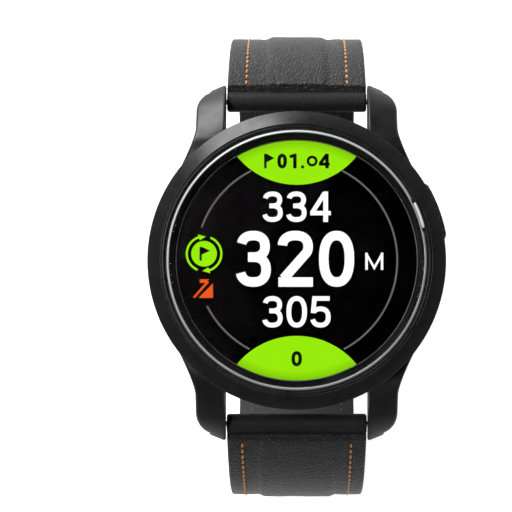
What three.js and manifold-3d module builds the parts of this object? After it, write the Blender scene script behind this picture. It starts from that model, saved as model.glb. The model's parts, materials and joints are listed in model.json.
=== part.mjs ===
// A golf GPS watch: a round case with four lugs on a buckled leather strap.
// Millimetres, +Z up out of the dial, +Y towards twelve o'clock, +X towards three o'clock.
// The watch stands on its closed strap: z = 0 is the table, and x = y = 0 is the axis of the case.
import * as THREE from "three";
import { mergeVertices } from "three/addons/utils/BufferGeometryUtils.js";
import Module from "manifold-3d";

// ---- Driving dimensions ----

const RUNNING_GAP = 0.3; // clearance round everything that turns or slides
const ROUND_STEPS = 48; // facets on the large round pieces
const INNER_STEPS = 32; // facets on the large round pieces inside the case
const SMALL_STEPS = 16; // facets on pins, screws and bores

// Case, heights measured up from the face of the back cover
const CASE_RADIUS = 20.6;
const CASE_WAIST_RADIUS = 18.4; // where the mid case meets the back cover
const COVER_THICKNESS = 1.5;
const MID_CASE_TOP = 10.1;
const CASE_THICKNESS = 12.6; // back cover to the top of the lens
const BEZEL_HEIGHT = 1.9;
const CAVITY_RADIUS = 17.3;
const LEDGE_RADIUS = 14.0; // opening in the floor of the mid case
const LEDGE_TOP = 3.2;

// Glass and display
const LENS_RADIUS = 17.6;
const LENS_THICKNESS = 1.2;
const LENS_GASKET_THICKNESS = 0.3;
const CHAPTER_THICKNESS = 0.5;
const DISPLAY_RADIUS = 16.7; // lit area
const DISPLAY_THICKNESS = 1.5;
const TRIM_WIDTH = 0.45;
const MARKER_SPAN = 12; // degrees of the bright marker beside the button

// Lugs
const LUG_GAP = 20;
const LUG_WIDTH = 3.95;
const LUG_OVERHANG = 4.5; // lug tip beyond the case
const LUG_SIDE_LENGTH = 6.5; // straight outer side, up to the flare at the case
const LUG_FLARE_LENGTH = 2.0;
const LUG_CORNER = 1.1;
const LUG_TIP_SLANT = 2.4;
const LUG_ROOT_INSET = 0.25; // where the flare meets the case, inside its radius
const LUG_ROOT_ANGLE = 30;
const LUG_UNDERSIDE_INSET = 8.24;
const LUG_TOP_INSET = 3.71;
const LUG_TOP_DROP = 2.05;
const BAR_HEIGHT = 3.0; // spring bar centre above the back cover
const BAR_STANDOFF = 2.1774; // spring bar centre beyond the case
const LUG_TIP_HEIGHT = 3.7;
const LUG_ROOT_HEIGHT = 9.3;

// Button
const BUTTON_ANGLE = 20; // degrees from three o'clock towards twelve
const BUTTON_SPAN = 24;
const BUTTON_HEIGHT = 2.8;
const BUTTON_PROUD = 0.5;
const BUTTON_TRAVEL = 0.45;
const BUTTON_LEVEL = 6.4;
const STEM_RADIUS = 0.8;

// Strap line: the outer face of the upper strap, seen from the side
const WRIST_ARC = 30; // degrees on each side of the flat arc under the wrist
const FLANK_RADIUS = 19.2;
const FLANK_ARC = 60;
const FLANK_STRAIGHT = 5;
const CROWN_RADIUS = 17.5;
const CROWN_ARC = 65;
const STRAP_SIDE_GAP = 0.35; // between the strap and each lug
const STRAP_WIDTH_AT_BUCKLE = 18;
const STRAP_THICKNESS_AT_LUG = 3.4;
const STRAP_THICKNESS_AT_BUCKLE = 2.2;
const LINING_THICKNESS = 0.8;
const GLUE_LINE = 0.12; // between the leather and its lining
const BAR_DEPTH = 1.7; // spring bar centre under the outer face of the strap
const BAR_LOOP_RADIUS = 1.45; // leather folded round the spring bar
const TAPER_ENDS_AT = 28; // path distance from the lowest point where width and thickness settle
const FLEX_AT = 38; // path distance where each strap is free to flex
const FLEX_GAP = 0.5;
const TAIL_GAP = 0.15; // between the two straps where they lie on each other
const TAIL_TIP_AT = 33;
const CROSSOVER_FROM = -17; // the tail steps inwards between these two distances
const CROSSOVER_TO = -36;

// Holes, keepers and buckle, placed along the strap line
const HOLE_PITCH = 6;
const HOLES = 6;
const HOLES_BEYOND_TONGUE = 2;
const HOLE_WIDTH = 2.2;
const HOLE_LENGTH = 3.2;
const TONGUE_HOLE_AT = -10.5;
const KEEPER_WIDTH = 5;
const KEEPER_WALL = 0.85;
const KEEPER_SIDE_GAP = 0.4;
const FIXED_KEEPER_AT = 11;
const FREE_KEEPER_AT = 17.5;
const BUCKLE_BAR_AT = -7;
const BUCKLE_BAR_DEPTH = 1.5;
const BUCKLE_BAR_RADIUS = 0.7;
const BUCKLE_LOOP_RADIUS = 1.35;
const FRONT_BAR_AT = -15;
const FRONT_BAR_RADIUS = 1.25;
const BUCKLE_ARM_THICKNESS = 1.8;
const BUCKLE_ARM_RADIUS = 1.75;
const TONGUE_WIDTH = 1.5;
const TONGUE_THICKNESS = 0.8;

// Spring bars
const SPRING_TUBE_RADIUS = 0.75;
const SPRING_TUBE_BORE = 0.55;
const SPRING_TIP_RADIUS = 0.4;
const SPRING_TIP_TRAVEL = 1.0;
const SPRING_SHOULDER = 0.5;

// Works inside the case
const BATTERY = { width: 20, depth: 17, height: 4.4, y: -1, padHeight: 0.6 };
const BOARD_RADIUS = 15.4;
const BOARD_THICKNESS = 0.8;
const BOARD_LEVEL = 7.2;
const CHASSIS_WALL = 1.2;
const MOTOR = { radius: 1.8, length: 7.5, x: -6, y: 10.4, shaftRadius: 0.4 };
const SCREW_CIRCLE = 16.6;
const SCREW_HEAD_RADIUS = 1.0;
const SCREW_HEAD_HEIGHT = 0.5;
const SCREW_SHANK_RADIUS = 0.45;
const BOLT_CLEARANCE = 0.15; // round each screw and each spring bar tip
const GASKET_RADIUS = 14.5;
const GASKET_WIDTH = 0.6;
const CONTACT_RADIUS = 0.75;
const CONTACT_PITCH = 2.6;
const CONTACT_ROW_Y = -6;

// ---- Sizes that follow from them ----

const radians = THREE.MathUtils.degToRad;
const lugReach = CASE_RADIUS + LUG_OVERHANG;
const strapWidthAtLug = LUG_GAP - 2 * STRAP_SIDE_GAP;
// The arc under the wrist is as wide as it must be for the strap to meet its spring bars.
const crownReach = CROWN_RADIUS - (CROWN_RADIUS - BAR_DEPTH) * Math.cos(radians(CROWN_ARC));
const wristRadius =
  FLANK_RADIUS +
  (CASE_RADIUS + BAR_STANDOFF - FLANK_RADIUS + crownReach) / Math.sin(radians(WRIST_ARC));
const keeperProud = TAIL_GAP + STRAP_THICKNESS_AT_BUCKLE + RUNNING_GAP + KEEPER_WALL;
const standingEdge = (FIXED_KEEPER_AT - KEEPER_WIDTH / 2) / wristRadius;
const wristCentreZ = (wristRadius + keeperProud) * Math.cos(standingEdge);
const halfPath =
  wristRadius * radians(WRIST_ARC) +
  FLANK_RADIUS * radians(FLANK_ARC) +
  FLANK_STRAIGHT +
  CROWN_RADIUS * radians(CROWN_ARC);
const bar = strapPoint(halfPath, -BAR_DEPTH); // centre of the upper spring bar
const backZ = bar.z - BAR_HEIGHT;
const lensBottom = CASE_THICKNESS - LENS_THICKNESS;
const chapterTop = lensBottom - LENS_GASKET_THICKNESS;
const displayTop = chapterTop - CHAPTER_THICKNESS;
const displayBottom = displayTop - DISPLAY_THICKNESS;
const bezelInnerRadius = LENS_RADIUS + 0.12;
const bezelTop = MID_CASE_TOP + BEZEL_HEIGHT;
const trimInnerRadius = bezelInnerRadius + 0.06;
const trimOuterRadius = trimInnerRadius + TRIM_WIDTH;
const midCaseRadius = CASE_RADIUS - 0.2;

// ---- Solids ----

const wasm = await Module();
wasm.setup();

// A closed three.js geometry as a solid whose faces point outwards.
function solidOf(geometry) {
  const bare = geometry.clone();
  bare.deleteAttribute("normal");
  bare.deleteAttribute("uv");
  const merged = mergeVertices(bare, 1e-4);
  const position = merged.getAttribute("position");
  const index = new Uint32Array(merged.index.array);
  if (signedVolume(position, index) < 0) {
    index.reverse();
  }
  return new wasm.Manifold(
    new wasm.Mesh({ numProp: 3, vertProperties: new Float32Array(position.array), triVerts: index }),
  );
}

function signedVolume(position, index) {
  const corners = [new THREE.Vector3(), new THREE.Vector3(), new THREE.Vector3()];
  let volume = 0;
  for (let i = 0; i < index.length; i += 3) {
    corners.forEach((corner, k) => corner.fromBufferAttribute(position, index[i + k]));
    volume += corners[0].dot(corners[1].cross(corners[2])) / 6;
  }
  return volume;
}

function geometryOf(solid) {
  const mesh = solid.getMesh();
  const geometry = new THREE.BufferGeometry();
  geometry.setAttribute("position", new THREE.BufferAttribute(new Float32Array(mesh.vertProperties), 3));
  geometry.setIndex(new THREE.BufferAttribute(new Uint32Array(mesh.triVerts), 1));
  const facets = geometry.toNonIndexed();
  facets.computeVertexNormals();
  return facets;
}

function join(...solids) {
  return solids.reduce((whole, solid) => whole.add(solid));
}

function cut(solid, ...tools) {
  return tools.reduce((rest, tool) => rest.subtract(tool), solid);
}

// A solid of revolution about Z from [radius, height] points; a profile off the axis is closed.
function turned(profile, steps = ROUND_STEPS) {
  const points = profile.map(([radius, height]) => new THREE.Vector2(radius, height));
  if (profile[0][0] > 0) {
    points.push(points[0].clone());
  }
  const geometry = new THREE.LatheGeometry(points, steps);
  geometry.rotateX(Math.PI / 2);
  return solidOf(geometry);
}

function ring(inner, outer, low, high, steps = ROUND_STEPS) {
  const profile = [
    [inner, low],
    [outer, low],
    [outer, high],
    [inner, high],
  ];
  return turned(profile, steps);
}

function disc(radius, low, high, steps = ROUND_STEPS) {
  const profile = [
    [0, low],
    [radius, low],
    [radius, high],
    [0, high],
  ];
  return turned(profile, steps);
}

// A block given by its low and high corner.
function block(low, high) {
  const size = high.map((value, axis) => value - low[axis]);
  const geometry = new THREE.BoxGeometry(...size);
  geometry.translate(...low.map((value, axis) => value + size[axis] / 2));
  return solidOf(geometry);
}

// An outline in x and y raised from low to high.
function raised(shape, low, high, curveSegments = 8) {
  const geometry = new THREE.ExtrudeGeometry(shape, {
    depth: high - low,
    bevelEnabled: false,
    curveSegments,
  });
  geometry.translate(0, 0, low);
  return solidOf(geometry);
}

// An outline in y and z spread along x from -halfWidth to halfWidth.
function spread(shape, halfWidth) {
  const geometry = new THREE.ExtrudeGeometry(shape, {
    depth: 2 * halfWidth,
    bevelEnabled: false,
    curveSegments: 8,
  });
  geometry.translate(0, 0, -halfWidth);
  geometry.applyMatrix4(new THREE.Matrix4().set(0, 0, 1, 0, 1, 0, 0, 0, 0, 1, 0, 0, 0, 0, 0, 1));
  return solidOf(geometry);
}

// A solid of revolution about the line through a point along X; profile heights run along X.
function turnedAlongX(profile, y, z, steps = SMALL_STEPS) {
  const points = profile.map(([radius, along]) => new THREE.Vector2(radius, along));
  if (profile[0][0] > 0) {
    points.push(points[0].clone());
  }
  const geometry = new THREE.LatheGeometry(points, steps);
  geometry.rotateZ(-Math.PI / 2);
  geometry.translate(0, y, z);
  return solidOf(geometry);
}

function rod(radius, fromX, toX, y, z, steps = SMALL_STEPS) {
  const profile = [
    [0, fromX],
    [radius, fromX],
    [radius, toX],
    [0, toX],
  ];
  return turnedAlongX(profile, y, z, steps);
}

// Convex rings of points, all of the same count, skinned one after another and closed at both ends.
function lofted(rings) {
  const count = rings[0].length;
  const corners = rings.flat();
  const triangles = [];
  for (let row = 0; row + 1 < rings.length; row++) {
    for (let k = 0; k < count; k++) {
      const a = row * count + k;
      const b = row * count + ((k + 1) % count);
      triangles.push(a, b, b + count, a, b + count, a + count);
    }
  }
  const last = (rings.length - 1) * count;
  for (let k = 1; k + 1 < count; k++) {
    triangles.push(0, k + 1, k);
    triangles.push(last, last + k, last + k + 1);
  }
  const geometry = new THREE.BufferGeometry().setFromPoints(corners);
  geometry.setIndex(triangles);
  return solidOf(geometry);
}

// ---- The strap line ----

// The point at a path distance from the lowest point, offset outwards, on the twelve o'clock
// side for positive distances and mirrored for negative ones.
function strapPoint(distance, outwards) {
  const side = Math.sign(distance) || 1;
  let left = Math.abs(distance);
  const centre = new THREE.Vector2(0, wristCentreZ);
  let turnedBy = 0;
  const arcs = [
    [wristRadius, WRIST_ARC],
    [FLANK_RADIUS, FLANK_ARC],
  ];
  const place = (radius, angle) =>
    new THREE.Vector3(0, side * (centre.x + radius * Math.sin(angle)), centre.y - radius * Math.cos(angle));
  for (const [radius, arc] of arcs) {
    const length = radius * radians(arc);
    if (left <= length) {
      return place(radius + outwards, turnedBy + left / radius);
    }
    left -= length;
    turnedBy += radians(arc);
    const nextRadius = turnedBy < Math.PI / 2 - 1e-9 ? FLANK_RADIUS : CROWN_RADIUS;
    centre.x += (radius - nextRadius) * Math.sin(turnedBy);
    centre.y -= (radius - nextRadius) * Math.cos(turnedBy);
  }
  if (left <= FLANK_STRAIGHT) {
    centre.y += left;
    return place(CROWN_RADIUS + outwards, turnedBy);
  }
  centre.y += FLANK_STRAIGHT;
  left -= FLANK_STRAIGHT;
  return place(CROWN_RADIUS + outwards, turnedBy + left / CROWN_RADIUS);
}

function smooth(value, from, to) {
  return THREE.MathUtils.smoothstep((value - from) / (to - from), 0, 1);
}

function between(low, high, share) {
  return THREE.MathUtils.lerp(low, high, THREE.MathUtils.clamp(share, 0, 1));
}

const taperShare = (distance) => (Math.abs(distance) - TAPER_ENDS_AT) / (halfPath - TAPER_ENDS_AT);
const strapWidth = (distance) =>
  between(STRAP_WIDTH_AT_BUCKLE, strapWidthAtLug, taperShare(distance));
const strapThickness = (distance) =>
  between(STRAP_THICKNESS_AT_BUCKLE, STRAP_THICKNESS_AT_LUG, taperShare(distance));

// How far the lower strap lies outside the line: one full thickness where it covers the upper one.
function tailShift(distance) {
  const full = TAIL_GAP + STRAP_THICKNESS_AT_BUCKLE;
  return full * (1 - smooth(-distance, -CROSSOVER_FROM, -CROSSOVER_TO));
}

// One layer of strap between two path distances. Its faces are offsets that may change on the way,
// and the outer face has bevelled edges.
function strapLayer(from, to, inner, outer, width = strapWidth, bevel = 0.4) {
  const steps = Math.max(2, Math.ceil(Math.abs(to - from) / 2.6));
  const rings = [];
  for (let step = 0; step <= steps; step++) {
    const distance = THREE.MathUtils.lerp(from, to, step / steps);
    const half = width(distance) / 2;
    const low = inner(distance);
    const high = outer(distance);
    const edge = Math.min(bevel, (high - low) / 2);
    const section = [
      [-half, low],
      [half, low],
      [half, high - edge],
      [half - 2 * edge, high],
      [2 * edge - half, high],
      [-half, high - edge],
    ];
    rings.push(
      section.map(([x, outwards]) => {
        const point = strapPoint(distance, outwards);
        return new THREE.Vector3(x, point.y, point.z);
      }),
    );
  }
  return lofted(rings);
}

// ---- Scene graph ----

function finish(color, roughness, metalness) {
  return new THREE.MeshStandardMaterial({ color, roughness, metalness });
}

const finishes = {
  caseBlack: finish("#26272a", 0.45, 0.6),
  silver: finish("#c9ccd1", 0.2, 1),
  glass: finish("#101214", 0.05, 0),
  display: finish("#1a1f1c", 0.3, 0),
  leather: finish("#5f5f60", 0.75, 0),
  lining: finish("#3b3b3d", 0.85, 0),
  steel: finish("#8d9094", 0.3, 1),
  rubber: finish("#1b1b1c", 0.9, 0),
  board: finish("#1e4f37", 0.6, 0),
  plastic: finish("#33353a", 0.6, 0),
  gold: finish("#c6a14a", 0.25, 1),
  foil: finish("#9fa3a8", 0.4, 0.8),
};

function add(group, name, solid, material) {
  const mesh = new THREE.Mesh(geometryOf(solid), material);
  mesh.name = name;
  group.add(mesh);
  return mesh;
}

const watch = new THREE.Group();
const caseGroup = new THREE.Group();
caseGroup.position.z = backZ;
watch.add(caseGroup);
const buttonGroup = new THREE.Group();
buttonGroup.rotation.z = radians(BUTTON_ANGLE);
caseGroup.add(buttonGroup);

// ---- Case ----

const buttonPocketFloor = midCaseRadius - 1.7;
const capInnerFace = buttonPocketFloor + 0.15 + BUTTON_TRAVEL + 0.1;
const sealRadius = STEM_RADIUS + 0.65;
const sealDepth = 0.7;
const stemEnd = 15.6;
const switchWidth = 4.4;

function lugOutline() {
  const inner = LUG_GAP / 2;
  const outer = inner + LUG_WIDTH;
  const shoulder = lugReach - LUG_SIDE_LENGTH;
  const rootX = (CASE_RADIUS - LUG_ROOT_INSET) * Math.cos(radians(LUG_ROOT_ANGLE));
  const rootY = (CASE_RADIUS - LUG_ROOT_INSET) * Math.sin(radians(LUG_ROOT_ANGLE));
  const shape = new THREE.Shape();
  shape.moveTo(inner, 0);
  shape.lineTo(rootX, 0);
  shape.lineTo(rootX, rootY);
  shape.quadraticCurveTo(outer, shoulder - LUG_FLARE_LENGTH, outer, shoulder);
  shape.lineTo(outer, lugReach - LUG_TIP_SLANT - LUG_CORNER);
  shape.quadraticCurveTo(outer, lugReach - 2.2, outer - LUG_CORNER, lugReach - 1.6);
  shape.lineTo(inner, lugReach);
  shape.closePath();
  return shape;
}

function lugSideProfile() {
  const shape = new THREE.Shape();
  const root = CASE_RADIUS - LUG_UNDERSIDE_INSET;
  shape.moveTo(0, COVER_THICKNESS + 0.3);
  shape.lineTo(root, COVER_THICKNESS + 0.3);
  shape.lineTo(lugReach - 0.9, 0.9);
  shape.lineTo(lugReach + 0.1, 1.9);
  shape.lineTo(lugReach + 0.1, LUG_TIP_HEIGHT);
  shape.quadraticCurveTo(
    lugReach - 2.6,
    LUG_ROOT_HEIGHT - LUG_TOP_DROP,
    CASE_RADIUS - LUG_TOP_INSET,
    LUG_ROOT_HEIGHT,
  );
  shape.lineTo(0, LUG_ROOT_HEIGHT + 0.3);
  shape.closePath();
  return shape;
}

function mirrored(solid, x, y) {
  return solid.scale([x, y, 1]);
}

function lugs() {
  const plan = raised(lugOutline(), 0, MID_CASE_TOP);
  const lug = plan.intersect(spread(lugSideProfile(), CASE_RADIUS));
  return join(lug, mirrored(lug, -1, 1), mirrored(lug, 1, -1), mirrored(lug, -1, -1));
}

// A pocket for the button, wide enough for its cap to slide in.
function buttonPocket() {
  const halfAngle = radians(BUTTON_SPAN / 2) + RUNNING_GAP / CASE_RADIUS;
  const halfHeight = BUTTON_HEIGHT / 2 + RUNNING_GAP;
  const halfWidth = (CASE_RADIUS + BUTTON_PROUD) * Math.sin(halfAngle);
  const pocket = block(
    [buttonPocketFloor, -halfWidth, BUTTON_LEVEL - halfHeight],
    [CASE_RADIUS + 2, halfWidth, BUTTON_LEVEL + halfHeight],
  );
  const bore = rod(STEM_RADIUS + 0.1, stemEnd, CASE_RADIUS, 0, BUTTON_LEVEL);
  const seat = rod(sealRadius + 0.1, buttonPocketFloor - sealDepth - 0.1, CASE_RADIUS, 0, BUTTON_LEVEL);
  return join(pocket, bore, seat).rotate([0, 0, BUTTON_ANGLE]);
}

function screwPlaces() {
  return [45, 135, 225, 315].map((angle) => [
    SCREW_CIRCLE * Math.cos(radians(angle)),
    SCREW_CIRCLE * Math.sin(radians(angle)),
  ]);
}

function midCase() {
  const body = turned([
    [0, COVER_THICKNESS],
    [CASE_WAIST_RADIUS, COVER_THICKNESS],
    [CASE_WAIST_RADIUS + 0.6, COVER_THICKNESS + 0.3],
    [midCaseRadius - 0.5, 4.4],
    [midCaseRadius, 6.0],
    [midCaseRadius, MID_CASE_TOP - 0.4],
    [midCaseRadius - 0.3, MID_CASE_TOP],
    [0, MID_CASE_TOP],
  ]);
  const cavity = join(
    disc(CAVITY_RADIUS, LEDGE_TOP, MID_CASE_TOP + 1),
    disc(LEDGE_RADIUS, 0, LEDGE_TOP + 0.1, 32),
  );
  const barHoles = [1, -1].flatMap((side) => [
    rod(SPRING_TIP_RADIUS + BOLT_CLEARANCE, LUG_GAP / 2 - 1, LUG_GAP / 2 + 1.4, side * bar.y, BAR_HEIGHT),
    rod(SPRING_TIP_RADIUS + BOLT_CLEARANCE, -LUG_GAP / 2 - 1.4, -LUG_GAP / 2 + 1, side * bar.y, BAR_HEIGHT),
  ]);
  const screwHoles = screwPlaces().map(([x, y]) =>
    disc(SCREW_SHANK_RADIUS + BOLT_CLEARANCE, 0, LEDGE_TOP - 0.3, 12).translate([x, y, 0]),
  );
  return cut(join(body, lugs()), cavity, buttonPocket(), ...barHoles, ...screwHoles);
}

function markerSector(inner, outer, low, high, span) {
  const shape = new THREE.Shape();
  const from = radians(BUTTON_ANGLE - span / 2);
  const to = radians(BUTTON_ANGLE + span / 2);
  shape.absarc(0, 0, outer, from, to, false);
  shape.absarc(0, 0, inner, to, from, true);
  shape.closePath();
  return raised(shape, low, high);
}

const bezelGrooveInner = trimOuterRadius + 0.27;
const bezelGrooveOuter = bezelGrooveInner + 0.47;
const markerInner = trimInnerRadius + 0.1;
const markerOuter = bezelGrooveInner - 0.05;

function bezel() {
  const body = turned([
    [bezelInnerRadius, MID_CASE_TOP],
    [CASE_RADIUS - 0.4, MID_CASE_TOP],
    [CASE_RADIUS, MID_CASE_TOP + 0.3],
    [CASE_RADIUS, MID_CASE_TOP + 0.6],
    [bezelGrooveOuter + 0.1, bezelTop + 0.35],
    [bezelGrooveOuter, bezelTop + 0.3],
    [bezelGrooveOuter, bezelTop],
    [bezelGrooveInner, bezelTop],
    [bezelGrooveInner, bezelTop + 0.4],
    [trimOuterRadius + 0.06, bezelTop + 0.4],
    [trimOuterRadius + 0.06, bezelTop],
    [bezelInnerRadius, bezelTop],
  ]);
  const notch = markerSector(
    bezelInnerRadius - 1,
    bezelGrooveInner + 0.1,
    bezelTop,
    bezelTop + 1,
    MARKER_SPAN + 1.4,
  );
  return cut(body, notch);
}

function trimRing() {
  const whole = ring(trimInnerRadius, trimOuterRadius, bezelTop, CASE_THICKNESS - 0.05);
  return cut(whole, markerSector(1, CASE_RADIUS, bezelTop - 1, CASE_THICKNESS + 1, MARKER_SPAN + 1.4));
}

add(caseGroup, "mid_case", midCase(), finishes.caseBlack);
add(caseGroup, "bezel", bezel(), finishes.caseBlack);
add(caseGroup, "trim_ring", trimRing(), finishes.silver);
add(
  caseGroup,
  "trim_marker",
  markerSector(markerInner, markerOuter, bezelTop, CASE_THICKNESS + 0.02, MARKER_SPAN),
  finishes.silver,
);

// ---- Glass, display and works, stacked from the lens down ----

add(caseGroup, "lens", disc(LENS_RADIUS, lensBottom, CASE_THICKNESS), finishes.glass);
add(
  caseGroup,
  "lens_gasket",
  ring(DISPLAY_RADIUS + 0.3, LENS_RADIUS, chapterTop, lensBottom, INNER_STEPS),
  finishes.rubber,
);
add(
  caseGroup,
  "chapter_ring",
  ring(DISPLAY_RADIUS + 0.05, LENS_RADIUS, displayTop, chapterTop, INNER_STEPS),
  finishes.plastic,
);
const panelRadius = CAVITY_RADIUS - 0.15;
add(caseGroup, "display_panel", disc(panelRadius, displayBottom, displayTop, INNER_STEPS), finishes.display);

function innerChassis() {
  const outer = CAVITY_RADIUS - RUNNING_GAP;
  const upperInner = BOARD_RADIUS + 0.2;
  const lowerInner = BOARD_RADIUS - 0.8;
  const body = turned([
    [lowerInner, LEDGE_TOP],
    [outer, LEDGE_TOP],
    [outer, displayBottom],
    [Math.max(upperInner, outer - CHASSIS_WALL), displayBottom],
    [upperInner, BOARD_LEVEL],
    [lowerInner, BOARD_LEVEL],
  ], INNER_STEPS);
  const switchWindow = block(
    [lowerInner - 3, -switchWidth / 2 - 0.6, BUTTON_LEVEL - 1.9],
    [outer + 1, switchWidth / 2 + 0.6, BUTTON_LEVEL + 1.9],
  ).rotate([0, 0, BUTTON_ANGLE]);
  return cut(body, switchWindow);
}

const boardTop = BOARD_LEVEL + BOARD_THICKNESS;
add(caseGroup, "inner_chassis", innerChassis(), finishes.plastic);
add(caseGroup, "main_board", disc(BOARD_RADIUS, BOARD_LEVEL, boardTop, INNER_STEPS), finishes.board);
add(
  caseGroup,
  "processor_shield",
  block([-8, -7.5, boardTop], [3.5, 1.5, displayBottom - 0.2]),
  finishes.foil,
);
add(caseGroup, "gps_antenna", block([-4.5, 4, boardTop], [4.5, 13, displayBottom - 0.1]), finishes.plastic);

// The display's flat cable: a tab under the panel, folded down and back onto the board.
function displayCable() {
  const thickness = 0.25;
  const fold = -13.5;
  const shape = new THREE.Shape();
  shape.moveTo(fold + 4, displayBottom);
  shape.lineTo(fold, displayBottom);
  shape.lineTo(fold, boardTop);
  shape.lineTo(fold + 3, boardTop);
  shape.lineTo(fold + 3, boardTop + thickness);
  shape.lineTo(fold + thickness, boardTop + thickness);
  shape.lineTo(fold + thickness, displayBottom - thickness);
  shape.lineTo(fold + 4, displayBottom - thickness);
  shape.closePath();
  return spread(shape, 3);
}

add(caseGroup, "display_cable", displayCable(), finishes.gold);

const batteryBottom = COVER_THICKNESS + BATTERY.padHeight;
const batteryFront = BATTERY.y - BATTERY.depth / 2;
const batteryRear = BATTERY.y + BATTERY.depth / 2;
add(
  caseGroup,
  "battery",
  block(
    [-BATTERY.width / 2, batteryFront, batteryBottom],
    [BATTERY.width / 2, batteryRear, batteryBottom + BATTERY.height],
  ),
  finishes.foil,
);
add(
  caseGroup,
  "battery_pad",
  block(
    [-BATTERY.width / 2 + 1, CONTACT_ROW_Y + 3, COVER_THICKNESS],
    [BATTERY.width / 2 - 1, batteryRear - 1, batteryBottom],
  ),
  finishes.rubber,
);

const motorZ = COVER_THICKNESS + MOTOR.radius + 0.05;
const motorFace = MOTOR.x + MOTOR.length;

function motorWeight() {
  const radius = MOTOR.radius - 0.1;
  const low = motorFace + 0.5;
  const shape = new THREE.Shape();
  shape.absarc(0, 0, radius, 0, Math.PI, false);
  shape.closePath();
  const half = spread(shape, 1.5).translate([low + 1.5, MOTOR.y, motorZ]);
  const shaft = rod(MOTOR.shaftRadius, motorFace - 1.2, low + 3.2, MOTOR.y, motorZ);
  return join(half, shaft);
}

const motorBore = rod(MOTOR.shaftRadius + 0.15, motorFace - 1.5, motorFace + 1, MOTOR.y, motorZ);
add(
  caseGroup,
  "motor_can",
  cut(rod(MOTOR.radius, MOTOR.x, motorFace, MOTOR.y, motorZ, 24), motorBore),
  finishes.steel,
);
add(caseGroup, "motor_weight", motorWeight(), finishes.steel);

// ---- Back cover with its screws, gasket and charging contacts ----

const contactPlaces = [-1.5, -0.5, 0.5, 1.5].map((step) => [step * CONTACT_PITCH, CONTACT_ROW_Y]);

function backCover() {
  const edge = CASE_WAIST_RADIUS - 0.1;
  const body = turned([
    [0, 0],
    [edge - 0.6, 0],
    [edge, 0.6],
    [edge, COVER_THICKNESS],
    [0, COVER_THICKNESS],
  ]);
  const groove = ring(
    GASKET_RADIUS - 0.1,
    GASKET_RADIUS + GASKET_WIDTH + 0.1,
    COVER_THICKNESS - 0.6,
    COVER_THICKNESS + 1,
    INNER_STEPS,
  );
  const screwHoles = screwPlaces().flatMap(([x, y]) => [
    disc(SCREW_SHANK_RADIUS + BOLT_CLEARANCE, -1, COVER_THICKNESS + 1, 12).translate([x, y, 0]),
    disc(SCREW_HEAD_RADIUS + BOLT_CLEARANCE, -1, SCREW_HEAD_HEIGHT + 0.1, 16).translate([x, y, 0]),
  ]);
  const contactHoles = contactPlaces.map(([x, y]) =>
    disc(CONTACT_RADIUS + 0.1, -1, COVER_THICKNESS + 1, 16).translate([x, y, 0]),
  );
  return cut(body, groove, ...screwHoles, ...contactHoles);
}

function screw() {
  return turned(
    [
      [0, 0.1],
      [SCREW_HEAD_RADIUS, 0.1],
      [SCREW_HEAD_RADIUS, SCREW_HEAD_HEIGHT + 0.1],
      [SCREW_SHANK_RADIUS, SCREW_HEAD_HEIGHT + 0.1],
      [SCREW_SHANK_RADIUS, LEDGE_TOP - 0.5],
      [0, LEDGE_TOP - 0.5],
    ],
    12,
  );
}

function chargeContact() {
  return turned(
    [
      [0, 0],
      [CONTACT_RADIUS, 0],
      [CONTACT_RADIUS, COVER_THICKNESS],
      [CONTACT_RADIUS + 0.35, COVER_THICKNESS],
      [CONTACT_RADIUS + 0.35, COVER_THICKNESS + 0.4],
      [0, COVER_THICKNESS + 0.4],
    ],
    16,
  );
}

add(caseGroup, "back_cover", backCover(), finishes.plastic);
add(
  caseGroup,
  "back_gasket",
  ring(GASKET_RADIUS, GASKET_RADIUS + GASKET_WIDTH, COVER_THICKNESS - 0.55, COVER_THICKNESS, INNER_STEPS),
  finishes.rubber,
);
screwPlaces().forEach(([x, y], n) => {
  const mesh = add(caseGroup, "back_screw_" + (n + 1), screw(), finishes.steel);
  mesh.position.set(x, y, 0);
});
contactPlaces.forEach(([x, y], n) => {
  const mesh = add(caseGroup, "charge_contact_" + (n + 1), chargeContact(), finishes.gold);
  mesh.position.set(x, y, 0);
});

// ---- Button, in a group turned so that +X is the way it is pressed from ----

function buttonCap() {
  const outerRadius = CASE_RADIUS + BUTTON_PROUD;
  const halfAngle = radians(BUTTON_SPAN / 2);
  const shape = new THREE.Shape();
  shape.absarc(0, 0, outerRadius, -halfAngle, halfAngle, false);
  shape.lineTo(capInnerFace, outerRadius * Math.sin(halfAngle));
  shape.lineTo(capInnerFace, -outerRadius * Math.sin(halfAngle));
  shape.closePath();
  return raised(shape, BUTTON_LEVEL - BUTTON_HEIGHT / 2, BUTTON_LEVEL + BUTTON_HEIGHT / 2);
}

const clipRadius = STEM_RADIUS + 0.75;
const clipThickness = 0.35;
const clipFace = CAVITY_RADIUS - 0.45;
const switchFace = stemEnd - 0.7;

function buttonRing(inner, outer, from, to) {
  const profile = [
    [inner, from],
    [outer, from],
    [outer, to],
    [inner, to],
  ];
  return turnedAlongX(profile, 0, BUTTON_LEVEL);
}

const sealFace = buttonPocketFloor - sealDepth;
add(buttonGroup, "button_cap", buttonCap(), finishes.caseBlack);
add(
  buttonGroup,
  "button_stem",
  rod(STEM_RADIUS, stemEnd, capInnerFace, 0, BUTTON_LEVEL),
  finishes.steel,
);
add(
  buttonGroup,
  "button_seal",
  buttonRing(STEM_RADIUS + 0.1, sealRadius, sealFace, buttonPocketFloor),
  finishes.rubber,
);
add(
  buttonGroup,
  "button_clip",
  buttonRing(STEM_RADIUS + 0.05, clipRadius, clipFace - clipThickness, clipFace),
  finishes.steel,
);

const plungerWidth = 1.2;
const plungerHeight = 1.0;
const plungerTail = 1.0; // length of the plunger inside the switch
const switchBack = switchFace - plungerTail - BUTTON_TRAVEL - 0.9;

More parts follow.
